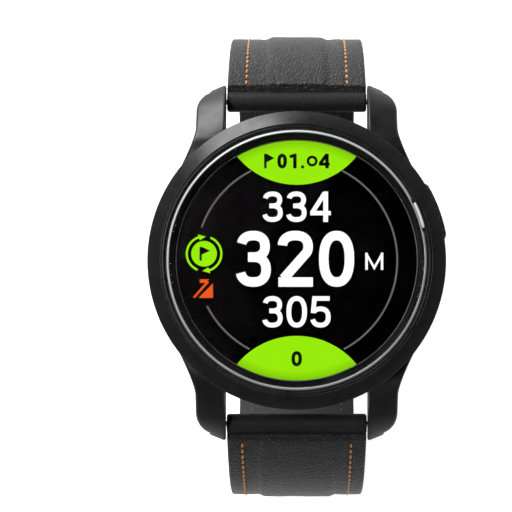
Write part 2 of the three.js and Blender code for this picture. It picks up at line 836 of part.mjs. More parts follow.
function sideSwitch() {
  const housing = block(
    [switchBack, -switchWidth / 2, BUTTON_LEVEL - 0.9],
    [switchFace, switchWidth / 2, BOARD_LEVEL],
  );
  const slot = block(
    [
      switchFace - plungerTail - BUTTON_TRAVEL - 0.2,
      -plungerWidth / 2 - 0.15,
      BUTTON_LEVEL - plungerHeight / 2 - 0.15,
    ],
    [switchFace + 1, plungerWidth / 2 + 0.15, BUTTON_LEVEL + plungerHeight / 2 + 0.15],
  );
  return cut(housing, slot);
}

add(buttonGroup, "side_switch", sideSwitch(), finishes.plastic);
add(
  buttonGroup,
  "switch_plunger",
  block(
    [switchFace - plungerTail, -plungerWidth / 2, BUTTON_LEVEL - plungerHeight / 2],
    [stemEnd, plungerWidth / 2, BUTTON_LEVEL + plungerHeight / 2],
  ),
  finishes.rubber,
);

// ---- Spring bars ----

const shoulderFace = LUG_GAP / 2 - RUNNING_GAP;
const tubeHalf = shoulderFace - SPRING_SHOULDER - SPRING_TIP_TRAVEL - 0.1;

function springTip(side, y) {
  const profile = [
    [0, tubeHalf - 2.6],
    [SPRING_TIP_RADIUS, tubeHalf - 2.6],
    [SPRING_TIP_RADIUS, shoulderFace - SPRING_SHOULDER],
    [SPRING_TUBE_RADIUS, shoulderFace - SPRING_SHOULDER],
    [SPRING_TUBE_RADIUS, shoulderFace],
    [SPRING_TIP_RADIUS, shoulderFace],
    [SPRING_TIP_RADIUS, LUG_GAP / 2 + SPRING_TIP_TRAVEL],
    [0, LUG_GAP / 2 + SPRING_TIP_TRAVEL],
  ].map(([radius, along]) => [radius, side * along]);
  return turnedAlongX(profile, y, BAR_HEIGHT, 12);
}

function springTube(y) {
  const profile = [
    [SPRING_TUBE_BORE, -tubeHalf],
    [SPRING_TUBE_RADIUS, -tubeHalf],
    [SPRING_TUBE_RADIUS, tubeHalf],
    [SPRING_TUBE_BORE, tubeHalf],
  ];
  return turnedAlongX(profile, y, BAR_HEIGHT, 12);
}

const ends = [
  ["upper", 1],
  ["lower", -1],
];
for (const [end, side] of ends) {
  const y = side * bar.y;
  add(caseGroup, "spring_bar_" + end + "_tube", springTube(y), finishes.steel);
  add(caseGroup, "spring_bar_" + end + "_tip_right", springTip(1, y), finishes.steel);
  add(caseGroup, "spring_bar_" + end + "_tip_left", springTip(-1, y), finishes.steel);
}

// ---- Strap ----

const liningInner = (distance) => -strapThickness(distance);
const liningOuter = (distance) => liningInner(distance) + LINING_THICKNESS;
const leatherInner = (distance) => liningOuter(distance) + GLUE_LINE;
const loopStep = BAR_DEPTH - BAR_LOOP_RADIUS; // the fold lies this far under the outer face

// Leather from the flex line to the spring bar, folded round it.
function legLeather(side) {
  const outer = (distance) => -loopStep * smooth(Math.abs(distance), halfPath - 5, halfPath - 1.5);
  const sheet = strapLayer(side * (FLEX_AT + FLEX_GAP / 2), side * (halfPath - 1.2), leatherInner, outer);
  const half = strapWidthAtLug / 2;
  const loop = rod(BAR_LOOP_RADIUS, -half, half, side * bar.y, bar.z, 20);
  const bore = rod(SPRING_TUBE_RADIUS + RUNNING_GAP, -half - 1, half + 1, side * bar.y, bar.z, 20);
  return cut(join(sheet, loop), bore);
}

function legLining(side) {
  return strapLayer(
    side * (FLEX_AT + FLEX_GAP / 2),
    side * (halfPath - BAR_LOOP_RADIUS - 0.6),
    liningInner,
    liningOuter,
    strapWidth,
    0,
  );
}

const buckleBar = strapPoint(BUCKLE_BAR_AT, -BUCKLE_BAR_DEPTH);
const buckleHalf = STRAP_WIDTH_AT_BUCKLE / 2;
const tongueSlot = block(
  [-TONGUE_WIDTH / 2 - 0.9, buckleBar.y - 3, buckleBar.z - 4],
  [TONGUE_WIDTH / 2 + 0.9, buckleBar.y + 2.6, buckleBar.z + 4],
);

// Upper strap from the flex line to the buckle bar, folded round it, with a slot for the tongue.
function clampedLeather() {
  const sheet = strapLayer(FLEX_AT - FLEX_GAP / 2, BUCKLE_BAR_AT + 1.1, leatherInner, () => 0);
  const loop = rod(BUCKLE_LOOP_RADIUS, -buckleHalf, buckleHalf, buckleBar.y, buckleBar.z, 20);
  const bore = rod(BUCKLE_BAR_RADIUS + 0.2, -buckleHalf - 1, buckleHalf + 1, buckleBar.y, buckleBar.z);
  return cut(join(sheet, loop), bore, tongueSlot);
}

function clampedLining() {
  const end = BUCKLE_BAR_AT + BUCKLE_LOOP_RADIUS + 0.5;
  const sheet = strapLayer(FLEX_AT - FLEX_GAP / 2, end, liningInner, liningOuter, strapWidth, 0);
  return cut(sheet, tongueSlot);
}

// The tail narrows to a rounded tip.
function tailWidth(distance) {
  const tipLength = 7;
  const share = THREE.MathUtils.clamp((TAIL_TIP_AT - distance) / tipLength, 0, 1);
  return strapWidth(distance) * (0.3 + 0.7 * Math.sqrt(1 - (1 - share) ** 2));
}

const tailInner = (distance) => tailShift(distance) - strapThickness(distance);
const tailLiningFace = (distance) => tailInner(distance) + LINING_THICKNESS;
const tailSeam = (distance) => tailLiningFace(distance) + GLUE_LINE;

// Adjustment holes, cut square to the strap.
function tailHoles() {
  const shape = new THREE.Shape();
  const radius = HOLE_WIDTH / 2;
  const straight = HOLE_LENGTH / 2 - radius;
  shape.absarc(0, straight, radius, 0, Math.PI, false);
  shape.absarc(0, -straight, radius, Math.PI, 2 * Math.PI, false);
  shape.closePath();
  const cutter = raised(shape, -6, 6, 5);
  return Array.from({ length: HOLES }, (_, n) => {
    const at = TONGUE_HOLE_AT + (n - HOLES_BEYOND_TONGUE) * HOLE_PITCH;
    const middle = strapPoint(at, tailShift(at) - STRAP_THICKNESS_AT_BUCKLE / 2);
    const lean = THREE.MathUtils.radToDeg(at / wristRadius);
    return cutter.rotate([lean, 0, 0]).translate([0, middle.y, middle.z]);
  });
}

function tailLeather() {
  return cut(
    strapLayer(TAIL_TIP_AT, -FLEX_AT + FLEX_GAP / 2, tailSeam, tailShift, tailWidth),
    ...tailHoles(),
  );
}

function tailLining() {
  return cut(
    strapLayer(TAIL_TIP_AT, -FLEX_AT + FLEX_GAP / 2, tailInner, tailLiningFace, tailWidth, 0),
    ...tailHoles(),
  );
}

// A closed loop of leather round both straps.
function keeper(at) {
  const from = at - KEEPER_WIDTH / 2;
  const to = at + KEEPER_WIDTH / 2;
  const reach = STRAP_THICKNESS_AT_BUCKLE + RUNNING_GAP;
  const innerWidth = STRAP_WIDTH_AT_BUCKLE + 2 * KEEPER_SIDE_GAP;
  const outerWidth = innerWidth + 2 * KEEPER_WALL;
  const shell = strapLayer(
    from,
    to,
    () => -reach - KEEPER_WALL,
    () => reach + TAIL_GAP + KEEPER_WALL,
    () => outerWidth,
    0.3,
  );
  const hollow = strapLayer(
    from - 1,
    to + 1,
    () => -reach,
    () => reach + TAIL_GAP,
    () => innerWidth,
    0,
  );
  return cut(shell, hollow);
}

for (const [end, side] of ends) {
  add(watch, "strap_" + end + "_leather", legLeather(side), finishes.leather);
  add(watch, "strap_" + end + "_lining", legLining(side), finishes.lining);
}
add(watch, "strap_upper_end_leather", clampedLeather(), finishes.leather);
add(watch, "strap_upper_end_lining", clampedLining(), finishes.lining);
add(watch, "strap_lower_tail_leather", tailLeather(), finishes.leather);
add(watch, "strap_lower_tail_lining", tailLining(), finishes.lining);
add(watch, "keeper_fixed", keeper(FIXED_KEEPER_AT), finishes.leather);
add(watch, "keeper_free", keeper(FREE_KEEPER_AT), finishes.leather);

// ---- Buckle ----

// The front bar stands level with the fixed keeper: its lowest line is on the table.
const frontBarRise = (wristCentreZ - FRONT_BAR_RADIUS) / Math.cos(FRONT_BAR_AT / wristRadius);
const frontBar = strapPoint(FRONT_BAR_AT, frontBarRise - wristRadius);
const armInner = buckleHalf + 0.35;
const armOuter = armInner + BUCKLE_ARM_THICKNESS;

// The outline round two circles in y and z, joined by their outer tangents.
function linkOutline(first, firstRadius, second, secondRadius) {
  const run = new THREE.Vector2(second.y - first.y, second.z - first.z);
  const heading = run.angle();
  const tangent = Math.acos((firstRadius - secondRadius) / run.length());
  const shape = new THREE.Shape();
  shape.absarc(first.y, first.z, firstRadius, heading + tangent, heading - tangent + 2 * Math.PI, false);
  shape.absarc(second.y, second.z, secondRadius, heading - tangent, heading + tangent, false);
  shape.closePath();
  return shape;
}

function buckleFrame() {
  const plate = spread(
    linkOutline(buckleBar, BUCKLE_ARM_RADIUS, frontBar, FRONT_BAR_RADIUS),
    BUCKLE_ARM_THICKNESS / 2,
  );
  const offset = armInner + BUCKLE_ARM_THICKNESS / 2;
  const arms = [plate.translate([offset, 0, 0]), plate.translate([-offset, 0, 0])];
  const front = rod(FRONT_BAR_RADIUS, -armOuter + 0.2, armOuter - 0.2, frontBar.y, frontBar.z, 24);
  const bores = rod(BUCKLE_BAR_RADIUS + 0.2, -armOuter - 1, armOuter + 1, buckleBar.y, buckleBar.z);
  const grooveDepth = TONGUE_THICKNESS + 0.35;
  const groove = block(
    [-TONGUE_WIDTH / 2 - 0.25, frontBar.y - 3, frontBar.z - 3],
    [TONGUE_WIDTH / 2 + 0.25, frontBar.y + 3, frontBar.z - FRONT_BAR_RADIUS + grooveDepth],
  );
  return cut(join(front, ...arms), bores, groove);
}

// A cranked tongue: an eye on the bar, a steep rise through the hole, and a tip in the groove.
function buckleTongue() {
  const half = TONGUE_THICKNESS / 2;
  const path = [
    strapPoint(BUCKLE_BAR_AT - 1.0, -BUCKLE_BAR_DEPTH),
    strapPoint(TONGUE_HOLE_AT + 0.9, -BUCKLE_BAR_DEPTH + 0.2),
    strapPoint(TONGUE_HOLE_AT - 0.9, STRAP_THICKNESS_AT_BUCKLE + TAIL_GAP + 0.35),
    new THREE.Vector3(0, frontBar.y + 0.6, half + 0.15),
    new THREE.Vector3(0, frontBar.y - 1.3, half + 0.3),
  ].map((point) => new THREE.Vector2(point.y, point.z));
  const along = path.map((_, n) =>
    path[Math.min(n + 1, path.length - 1)].clone().sub(path[Math.max(n - 1, 0)]).normalize(),
  );
  const offset = (shift) =>
    path.map((point, n) => new THREE.Vector2(point.x - shift * along[n].y, point.y + shift * along[n].x));
  const band = spread(new THREE.Shape([...offset(half), ...offset(-half).reverse()]), TONGUE_WIDTH / 2);
  const eye = rod(BUCKLE_LOOP_RADIUS, -TONGUE_WIDTH / 2, TONGUE_WIDTH / 2, buckleBar.y, buckleBar.z);
  const bore = rod(BUCKLE_BAR_RADIUS + 0.2, -TONGUE_WIDTH, TONGUE_WIDTH, buckleBar.y, buckleBar.z);
  return cut(join(band, eye), bore);
}

add(
  watch,
  "buckle_bar",
  rod(BUCKLE_BAR_RADIUS, -armOuter + 0.2, armOuter - 0.2, buckleBar.y, buckleBar.z),
  finishes.steel,
);
add(watch, "buckle_frame", buckleFrame(), finishes.steel);
add(watch, "buckle_tongue", buckleTongue(), finishes.steel);

export default watch;
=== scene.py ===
import json
import math

import bmesh
import bpy
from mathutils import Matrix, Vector, noise


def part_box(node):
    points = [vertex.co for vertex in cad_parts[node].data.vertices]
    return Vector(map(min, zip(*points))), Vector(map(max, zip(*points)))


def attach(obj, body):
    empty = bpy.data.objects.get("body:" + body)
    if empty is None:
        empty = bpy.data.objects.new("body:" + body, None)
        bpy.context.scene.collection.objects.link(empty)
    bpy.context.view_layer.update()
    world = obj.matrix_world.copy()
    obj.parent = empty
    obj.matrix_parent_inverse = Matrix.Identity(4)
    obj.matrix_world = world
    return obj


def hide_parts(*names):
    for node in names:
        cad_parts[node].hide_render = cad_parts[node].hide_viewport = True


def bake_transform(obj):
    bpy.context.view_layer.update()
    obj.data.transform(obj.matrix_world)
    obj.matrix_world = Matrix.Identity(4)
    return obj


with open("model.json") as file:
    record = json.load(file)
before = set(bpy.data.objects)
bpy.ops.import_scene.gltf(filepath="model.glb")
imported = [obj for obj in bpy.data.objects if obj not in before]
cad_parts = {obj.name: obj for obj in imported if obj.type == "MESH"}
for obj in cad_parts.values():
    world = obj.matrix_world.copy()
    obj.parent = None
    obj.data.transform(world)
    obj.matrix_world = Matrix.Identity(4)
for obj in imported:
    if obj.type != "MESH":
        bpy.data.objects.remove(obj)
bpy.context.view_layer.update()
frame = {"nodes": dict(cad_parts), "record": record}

MM = 0.001


def box_mm(node):
    """A CAD node's lowest and highest corners, in millimetres."""
    low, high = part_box(node)
    return low / MM, high / MM


def box_middle(node):
    """The middle of a CAD node's box, as (x, y, z) in millimetres."""
    return tuple((low + high) / 2 for low, high in zip(*box_mm(node)))


# ---- Sizes in millimetres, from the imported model, the part's source or the photo ----

BACK_Z = box_mm("back_cover")[0].z
CASE_RADIUS = box_mm("bezel")[1].x
COVER_RADIUS = box_mm("back_cover")[1].x
DISPLAY_HIGH = box_mm("display_panel")[1]
CAVITY_RADIUS = 17.3
MID_FOOT = 1.5
BEZEL_FOOT = 10.1
BEZEL_CREST = 12.4
TRIM_FOOT = 12.0
TRIM_INNER = 17.54
LIT_RADIUS = 16.7
SCREEN_SCALE = 0.988
LUG_INNER = 10.0
LUG_OUTER = 14.1
LUG_REACH = 25.15
SEAT_RADIUS = 17.45
BUTTON_ANGLE = 20.0
BUTTON_SPAN = 24.0
BUTTON_LEVEL = BACK_Z + 6.4
BUTTON_OUTER = 21.2
BUTTON_HALF_HEIGHT = 1.4

# The strap line: arcs under the wrist, round each flank and over to the spring bars
_, BAR_Y, BAR_Z = box_middle("spring_bar_upper_tube")
FLANK_RADIUS = 19.2
CROWN_RADIUS = 17.5
WRIST_ARC = math.radians(30)
FLANK_ARC = math.radians(60)
CROWN_ARC = math.radians(65)
FLANK_STRAIGHT = 5.0
BAR_DEPTH = 1.7
KEEPER_PROUD = 3.5
CROWN_REACH = CROWN_RADIUS - (CROWN_RADIUS - BAR_DEPTH) * math.cos(CROWN_ARC)
WRIST_RADIUS = FLANK_RADIUS + (BAR_Y - FLANK_RADIUS + CROWN_REACH) / math.sin(WRIST_ARC)
WRIST_CENTRE_Z = (WRIST_RADIUS + KEEPER_PROUD) * math.cos(8.5 / WRIST_RADIUS)
HALF_PATH = WRIST_RADIUS * WRIST_ARC + FLANK_RADIUS * FLANK_ARC + FLANK_STRAIGHT + CROWN_RADIUS * CROWN_ARC
TAPER_ENDS_AT = 28.0
WIDTH_AT_LUG = 19.7
WIDTH_AT_BUCKLE = 18.0
THICKNESS_AT_LUG = 3.4
THICKNESS_AT_BUCKLE = 2.2
LINING = 0.8
GLUE_LINE = 0.12
BAR_LOOP = 1.45
BAR_BORE = 1.05
BUCKLE_BAR_AT = -7.0
BUCKLE_BAR_DEPTH = 1.5
BUCKLE_LOOP = 1.35
BUCKLE_BORE = 0.9
TAIL_GAP = 0.15
TAIL_TIP_AT = 33.0
HOLES_AT = (-16.5, -10.5, -4.5, 1.5, 7.5)
HOLE_HALF_LENGTH = 1.6
HOLE_HALF_WIDTH = 1.1
KEEPER_WALL = 0.85
KEEPER_HALF_LENGTH = 2.5
KEEPER_CLEARANCE = 0.3
KEEPER_SIDE_GAP = 0.4
KEEPERS = {"keeper_fixed": (11.0, "clasp"), "keeper_free": (17.5, "keeper")}


def smooth(value, low, high):
    share = min(1.0, max(0.0, (value - low) / (high - low)))
    return share * share * (3 - 2 * share)


def lerp(low, high, share):
    return low + (high - low) * min(1.0, max(0.0, share))


def strap_point(distance, outwards, x=0.0):
    """The point at a path distance from the lowest point, offset outwards from the strap line."""
    side = -1 if distance < 0 else 1
    left = abs(distance)
    centre_y = 0.0
    centre_z = WRIST_CENTRE_Z
    turned = 0.0
    radius = WRIST_RADIUS
    for arc, following in ((WRIST_ARC, FLANK_RADIUS), (FLANK_ARC, CROWN_RADIUS)):
        if left <= radius * arc:
            break
        left -= radius * arc
        turned += arc
        centre_y += (radius - following) * math.sin(turned)
        centre_z -= (radius - following) * math.cos(turned)
        radius = following
    else:
        straight = min(left, FLANK_STRAIGHT)
        centre_z += straight
        left -= straight
    angle = turned + left / radius
    reach = radius + outwards
    return Vector((x, side * (centre_y + reach * math.sin(angle)), centre_z - reach * math.cos(angle)))


def taper(distance):
    return (abs(distance) - TAPER_ENDS_AT) / (HALF_PATH - TAPER_ENDS_AT)


def strap_width(distance):
    return lerp(WIDTH_AT_BUCKLE, WIDTH_AT_LUG, taper(distance))


def strap_thickness(distance):
    return lerp(THICKNESS_AT_BUCKLE, THICKNESS_AT_LUG, taper(distance))


def tail_shift(distance):
    """How far the lower strap lies outside the line, where it covers the upper one."""
    return (THICKNESS_AT_BUCKLE + TAIL_GAP) * (1 - smooth(-distance, 17, 36))


# ---- Meshes ----


def piece(name, vertices, faces, material, slot, sharp=35):
    """A Blender object from points in millimetres, smooth but for its sharp edges."""
    mesh = bpy.data.meshes.new(name)
    mesh.from_pydata([Vector(v) * MM for v in vertices], [], faces)
    work = bmesh.new()
    work.from_mesh(mesh)
    bmesh.ops.remove_doubles(work, verts=work.verts, dist=1e-7)
    bmesh.ops.dissolve_degenerate(work, edges=work.edges, dist=1e-8)
    bmesh.ops.recalc_face_normals(work, faces=work.faces)
    work.to_mesh(mesh)
    work.free()
    mesh.materials.append(material)
    obj = bpy.data.objects.new(name, mesh)
    bpy.context.scene.collection.objects.link(obj)
    shade(obj, sharp)
    return obj


def shade(obj, sharp=35):
    obj.data.shade_smooth()
    obj.data.set_sharp_from_angle(angle=math.radians(sharp))


def skin(rows, around=False, closed=True, caps=False):
    """Faces between rows of points. Around joins the last row to the first; closed makes rows loops."""
    count = len(rows[0])
    vertices = [point for row in rows for point in row]
    faces = []
    for i in range(len(rows) if around else len(rows) - 1):
        here = i * count
        there = (i + 1) % len(rows) * count
        for k in range(count if closed else count - 1):
            beside = (k + 1) % count
            faces.append((here + k, here + beside, there + beside, there + k))
    if caps:
        faces.append(tuple(range(count))[::-1])
        faces.append(tuple((len(rows) - 1) * count + k for k in range(count)))
    return vertices, faces


def rounded(corners, steps=4):
    """A closed outline from corners given as (x, y, radius)."""
    points = []
    for i, (x, y, radius) in enumerate(corners):
        here = Vector((x, y))
        back = Vector(corners[i - 1][:2]) - here
        ahead = Vector(corners[(i + 1) % len(corners)][:2]) - here
        if radius <= 0:
            points.append(here)
            continue
        reach = radius / math.tan(back.angle(ahead) / 2)
        reach = min(reach, 0.48 * back.length, 0.48 * ahead.length)
        start = here + back.normalized() * reach
        end = here + ahead.normalized() * reach
        for k in range(steps + 1):
            t = k / steps
            points.append((1 - t) ** 2 * start + 2 * t * (1 - t) * here + t * t * end)
    return points


def swung(outline, angle, centre=(0.0, 0.0)):
    """An outline of (radius, height above the back), placed at an angle about a vertical line."""
    c = math.cos(angle)
    s = math.sin(angle)
    return [(centre[0] + r * c, centre[1] + r * s, BACK_Z + z) for r, z in outline]


def lathe(profile, steps=192, centre=(0.0, 0.0)):
    """An outline of (radius, height above the back), turned about a vertical line."""
    return skin([swung(profile, math.tau * i / steps, centre) for i in range(steps)], around=True)


def carve(obj, cutter, operation="DIFFERENCE", sharp=35):
    """Cuts the cutter from obj, or joins it, for good."""
    modifier = obj.modifiers.new("carve", "BOOLEAN")
    modifier.object = cutter
    modifier.operation = operation
    modifier.solver = "EXACT"
    graph = bpy.context.evaluated_depsgraph_get()
    mesh = bpy.data.meshes.new_from_object(obj.evaluated_get(graph))
    obj.modifiers.clear()
    obj.data = mesh
    bpy.data.objects.remove(cutter)
    shade(obj, sharp)


def cut(obj, shape, sharp, operation="DIFFERENCE"):
    """Cuts a shape of vertices and faces from obj, or joins it, for good."""
    carve(obj, piece("cutter", *shape, obj.data.materials[0], None), operation, sharp)


def merged(parts):
    """Several (vertices, faces) pairs as one."""
    vertices = []
    faces = []
    for some_vertices, some_faces in parts:
        start = len(vertices)
        vertices.extend(some_vertices)
        faces.extend(tuple(start + k for k in face) for face in some_faces)
    return vertices, faces


def block(low, high):
    xs, ys, zs = zip(low, high)
    loop = [(xs[0], ys[0]), (xs[1], ys[0]), (xs[1], ys[1]), (xs[0], ys[1])]
    return skin([[(x, y, z) for x, y in loop] for z in zs], caps=True)


def turned_about_z(shape, degrees):
    vertices, faces = shape
    c = math.cos(math.radians(degrees))
    s = math.sin(math.radians(degrees))
    return [(x * c - y * s, x * s + y * c, z) for x, y, z in vertices], faces


def rod_x(radius, x_from, x_to, y, z, steps=32):
    turns = [math.tau * k / steps for k in range(steps)]
    ring = [(y + radius * math.cos(a), z + radius * math.sin(a)) for a in turns]
    return skin([[(x, *p) for p in ring] for x in (x_from, x_to)], caps=True)


# ---- Materials ----


MATERIALS = {}


class Nodes:
    """A material's node tree, with short ways to add and join nodes."""

    def __init__(self, name):
        self.material = bpy.data.materials.new(name)
        self.material.use_nodes = True
        MATERIALS[name] = self.material
        self.tree = self.material.node_tree
        self.shader = self.tree.nodes["Principled BSDF"]
        self.place = self.add("ShaderNodeTexCoord").outputs["Object"]

    def add(self, kind, **values):
        node = self.tree.nodes.new(kind)
        for key, value in values.items():
            setattr(node, key, value)
        return node

    def link(self, output, socket):
        self.tree.links.new(output, socket)

    def set(self, **values):
        for key, value in values.items():
            self.shader.inputs[key.replace("_", " ")].default_value = value

    def stretched(self, scale):
        if scale == (1, 1, 1):
            return self.place
        node = self.add("ShaderNodeMapping")
        node.inputs["Scale"].default_value = scale
        self.link(self.place, node.inputs["Vector"])
        return node.outputs["Vector"]

    def noise(self, scale, detail=4, stretch=(1, 1, 1)):
        node = self.add("ShaderNodeTexNoise")
        node.inputs["Scale"].default_value = scale
        node.inputs["Detail"].default_value = detail
        node.inputs["Roughness"].default_value = 0.55
        self.link(self.stretched(stretch), node.inputs["Vector"])
        return node.outputs["Fac"]

    def cell_edges(self, scale):
        node = self.add("ShaderNodeTexVoronoi", feature="DISTANCE_TO_EDGE")
        node.inputs["Scale"].default_value = scale
        self.link(self.place, node.inputs["Vector"])
        return node.outputs["Distance"]

    def ranged(self, value, low, high, to_low, to_high):
        node = self.add("ShaderNodeMapRange")
        for key, number in zip(("From Min", "From Max", "To Min", "To Max"), (low, high, to_low, to_high)):
            node.inputs[key].default_value = number
        self.link(value, node.inputs["Value"])
        return node.outputs["Result"]

    def math(self, operation, a, b):
        node = self.add("ShaderNodeMath", operation=operation)
        for socket, value in zip(node.inputs, (a, b)):
            if isinstance(value, (int, float)):
                socket.default_value = value
            else:
                self.link(value, socket)
        return node.outputs["Value"]

    def mixed(self, factor, a, b):
        node = self.add("ShaderNodeMix", data_type="RGBA")
        self.link(factor, node.inputs["Factor"])
        for socket, value in ((node.inputs[6], a), (node.inputs[7], b)):
            if isinstance(value, tuple):
                socket.default_value = (*value, 1)
            else:
                self.link(value, socket)
        return node.outputs[2]

    def bump(self, height, distance):
        node = self.add("ShaderNodeBump")
        node.inputs["Strength"].default_value = 1.0
        node.inputs["Distance"].default_value = distance
        self.link(height, node.inputs["Height"])
        self.link(node.outputs["Normal"], self.shader.inputs["Normal"])


def shades(base, spread):
    return tuple(c * (1 - spread) for c in base), tuple(min(1, c * (1 + spread)) for c in base)


ROUGHNESS_SPREAD = 0.06


def surface(
    name, base, roughness, metallic=0.0, spots=900, spread=0.15, bump=4e-6,
    stretch=(1, 1, 1), fine=9000, specular=0.5,
):
    """Paint, metal or plastic: mottled colour and roughness with a fine bump."""
    n = Nodes(name)
    broad = n.noise(spots, stretch=stretch)
    n.link(n.mixed(broad, *shades(base, spread)), n.shader.inputs["Base Color"])
    rough = n.ranged(broad, 0.3, 0.7, roughness - ROUGHNESS_SPREAD, roughness + ROUGHNESS_SPREAD)
    n.link(rough, n.shader.inputs["Roughness"])
    n.set(Metallic=metallic, Specular_IOR_Level=specular)
    n.bump(n.noise(fine, detail=2, stretch=stretch), bump)
    return n.material


def leather(name, base, roughness, grain=2500, bump=3.5e-5, spread=0.18, specular=0.22):
    """Fine pebbled leather: rounded cells between creases, with pores and uneven dye."""
    n = Nodes(name)
    pebbles = n.ranged(n.cell_edges(grain), 0.0, 0.32, 0.0, 1.0)
    pores = n.noise(grain * 2.6, detail=3)
    dye = n.noise(160, detail=5)
    tone = n.mixed(dye, *shades(base, spread))
    creases = tuple(c * 0.45 for c in base)
    n.link(n.mixed(n.ranged(pebbles, 0, 0.5, 0.35, 1), creases, tone), n.shader.inputs["Base Color"])
    n.link(n.ranged(pores, 0.3, 0.7, roughness - 0.08, roughness + 0.12), n.shader.inputs["Roughness"])
    n.set(Specular_IOR_Level=specular)
    n.bump(n.math("ADD", pebbles, n.math("MULTIPLY", pores, 0.55)), bump)
    return n.material


def glow(name, colour, strength, rim=None):
    """A lit, slightly uneven part of the display. Rim is (start, end, shade) where a painted shade darkens
    it outwards, for the shadow of the recess round the display.
    """
    n = Nodes(name)
    n.set(Base_Color=(0, 0, 0, 1), Roughness=0.5, Specular_IOR_Level=0.0, Emission_Strength=strength)
    uneven = n.noise(300, detail=2)
    lit = n.mixed(uneven, *shades(colour, 0.02))
    if rim:
        flat = n.add("ShaderNodeVectorMath", operation="MULTIPLY")
        flat.inputs[1].default_value = (1, 1, 0)
        n.link(n.place, flat.inputs[0])
        length = n.add("ShaderNodeVectorMath", operation="LENGTH")
        n.link(flat.outputs["Vector"], length.inputs[0])
        # Painted shade: the light dims from the rim's start radius to its end radius, for the shadow of the
        # recess round the display.
        edge = n.ranged(length.outputs["Value"], rim[0] * MM, rim[1] * MM, 0, 1)
        lit = n.mixed(edge, lit, tuple(c * rim[2] for c in colour))
    n.link(lit, n.shader.inputs["Emission Color"])
    return n.material


def glass():
    """Cover glass. Its index is set lower than real glass has, to weaken the lights' reflections."""
    n = Nodes("lens_glass")
    n.set(Base_Color=(1, 1, 1, 1), Transmission_Weight=1.0, IOR=1.16)
    smears = n.noise(40, detail=3)
    n.link(n.ranged(smears, 0.4, 0.8, 0.0, 0.012), n.shader.inputs["Roughness"])
    n.bump(n.noise(90, detail=1), 2e-7)
    return n.material


def thread(name, base):
    """Twisted thread: slanting strands across each stitch."""
    n = Nodes(name)
    wave = n.add("ShaderNodeTexWave", wave_type="BANDS", bands_direction="DIAGONAL")
    wave.inputs["Scale"].default_value = 1500
    wave.inputs["Distortion"].default_value = 1.5
    n.link(n.place, wave.inputs["Vector"])
    n.link(n.mixed(wave.outputs["Fac"], *shades(base, 0.3)), n.shader.inputs["Base Color"])
    n.set(Roughness=0.62, Sheen_Weight=0.2)
    n.bump(wave.outputs["Fac"], 4e-5)
    return n.material


NEAR_BLACK = (0.006, 0.006, 0.0065)
STEEL = (0.5, 0.5, 0.51)
DARK_LEATHER = (0.02, 0.02, 0.021)
GREEN = (0.30, 0.80, 0.004)

CASE_BLACK = surface("case_black", NEAR_BLACK, 0.34, spots=700, specular=0.24, fine=12000)
BEZEL_BLACK = surface("bezel_black", NEAR_BLACK, 0.3, spots=500, specular=0.24, fine=14000)
BACK = surface("back_black", (0.014, 0.014, 0.015), 0.42, spots=600, bump=5e-6, stretch=(0.1, 1, 1))
TRIM = surface("polished_trim", (0.5, 0.5, 0.505), 0.5, 0.3, spread=0.03, bump=1e-6, specular=0.3)
GLASS = glass()
DISPLAY = surface("display", (0.0005, 0.0005, 0.0006), 0.3, spread=0.3, bump=2e-7, specular=0.03)
CHAPTER = surface("chapter_black", (0.002, 0.002, 0.002), 0.4, bump=2e-6, specular=0.1)
# Painted reflection: light grey rings for the reflection along the chapter ring's steps. Their bright base
# also stands in for lamp light that the glass keeps from them.
PAINTED_CHAPTER_REFLECTION = surface("painted_chapter_reflection", (0.2, 0.2, 0.2), 0.4, bump=2e-6, specular=0.3)
LEATHER = leather("strap_leather", (0.0195, 0.0195, 0.0203), 0.48, grain=2000, bump=9e-5, specular=0.25)
# Smooth leather with little gloss, for the folds and the keepers. On the folds its darkness is partly the
# smoother leather's own and partly painted shade, for the shade the lugs cast there.
FOLD_LEATHER = leather("keeper_leather", DARK_LEATHER, 0.42, specular=0.06)
LINING_LEATHER = leather("strap_lining", DARK_LEATHER, 0.6, grain=3200, bump=2e-5)
THREAD = thread("stitch_thread", (0.44, 0.19, 0.05))
INNER_THREAD = thread("inner_thread", (0.03, 0.028, 0.026))
BUCKLE_STEEL = surface(
    "buckle_steel", STEEL, 0.24, 1.0, spots=500, spread=0.06, bump=2e-6, stretch=(0.15, 1, 1)
)
WHITE_LIGHT = glow("display_white", (1.0, 1.0, 1.0), 1.1)
# Painted shade: the green field dims outwards from 15.2 to 16.9 mm, for the shadow of the recess round the
# display.
GREEN_LIGHT = glow("display_green", GREEN, 1.05, rim=(15.2, 16.9, 0.62))
GREEN_MARK = glow("display_green_mark", GREEN, 1.05)
GREY_LIGHT = glow("display_grey", (0.13, 0.13, 0.13), 1.0)
ORANGE_LIGHT = glow("display_orange", (0.80, 0.10, 0.01), 1.0)
INK = surface("display_ink", (0.0, 0.0, 0.0), 0.6, bump=1e-7, specular=0.1)

# These are only on hidden CAD pieces, by their slots
surface("bar_steel", STEEL, 0.3, 1.0, spots=700, bump=3e-6, stretch=(3, 1, 1))
surface("seal_rubber", (0.004, 0.004, 0.004), 0.75, spots=1200, bump=1e-5, specular=0.15)
surface("board_green", (0.02, 0.12, 0.05), 0.4, spots=1600, spread=0.5, bump=1e-5)
surface("inner_plastic", (0.05, 0.05, 0.055), 0.55, spots=1200, bump=1e-5)
surface("contact_gold", (0.85, 0.6, 0.22), 0.22, 1.0, spots=1500, spread=0.05, bump=1e-6)
surface("foil", (0.6, 0.6, 0.62), 0.35, 1.0, spots=400, bump=2e-5)

for part in frame["record"]["subparts"]:
    node = frame["nodes"][part["node"]]
    node.data.materials.clear()
    node.data.materials.append(MATERIALS[part["material_slot"]])
    shade(node, 30)


# ---- Case ----

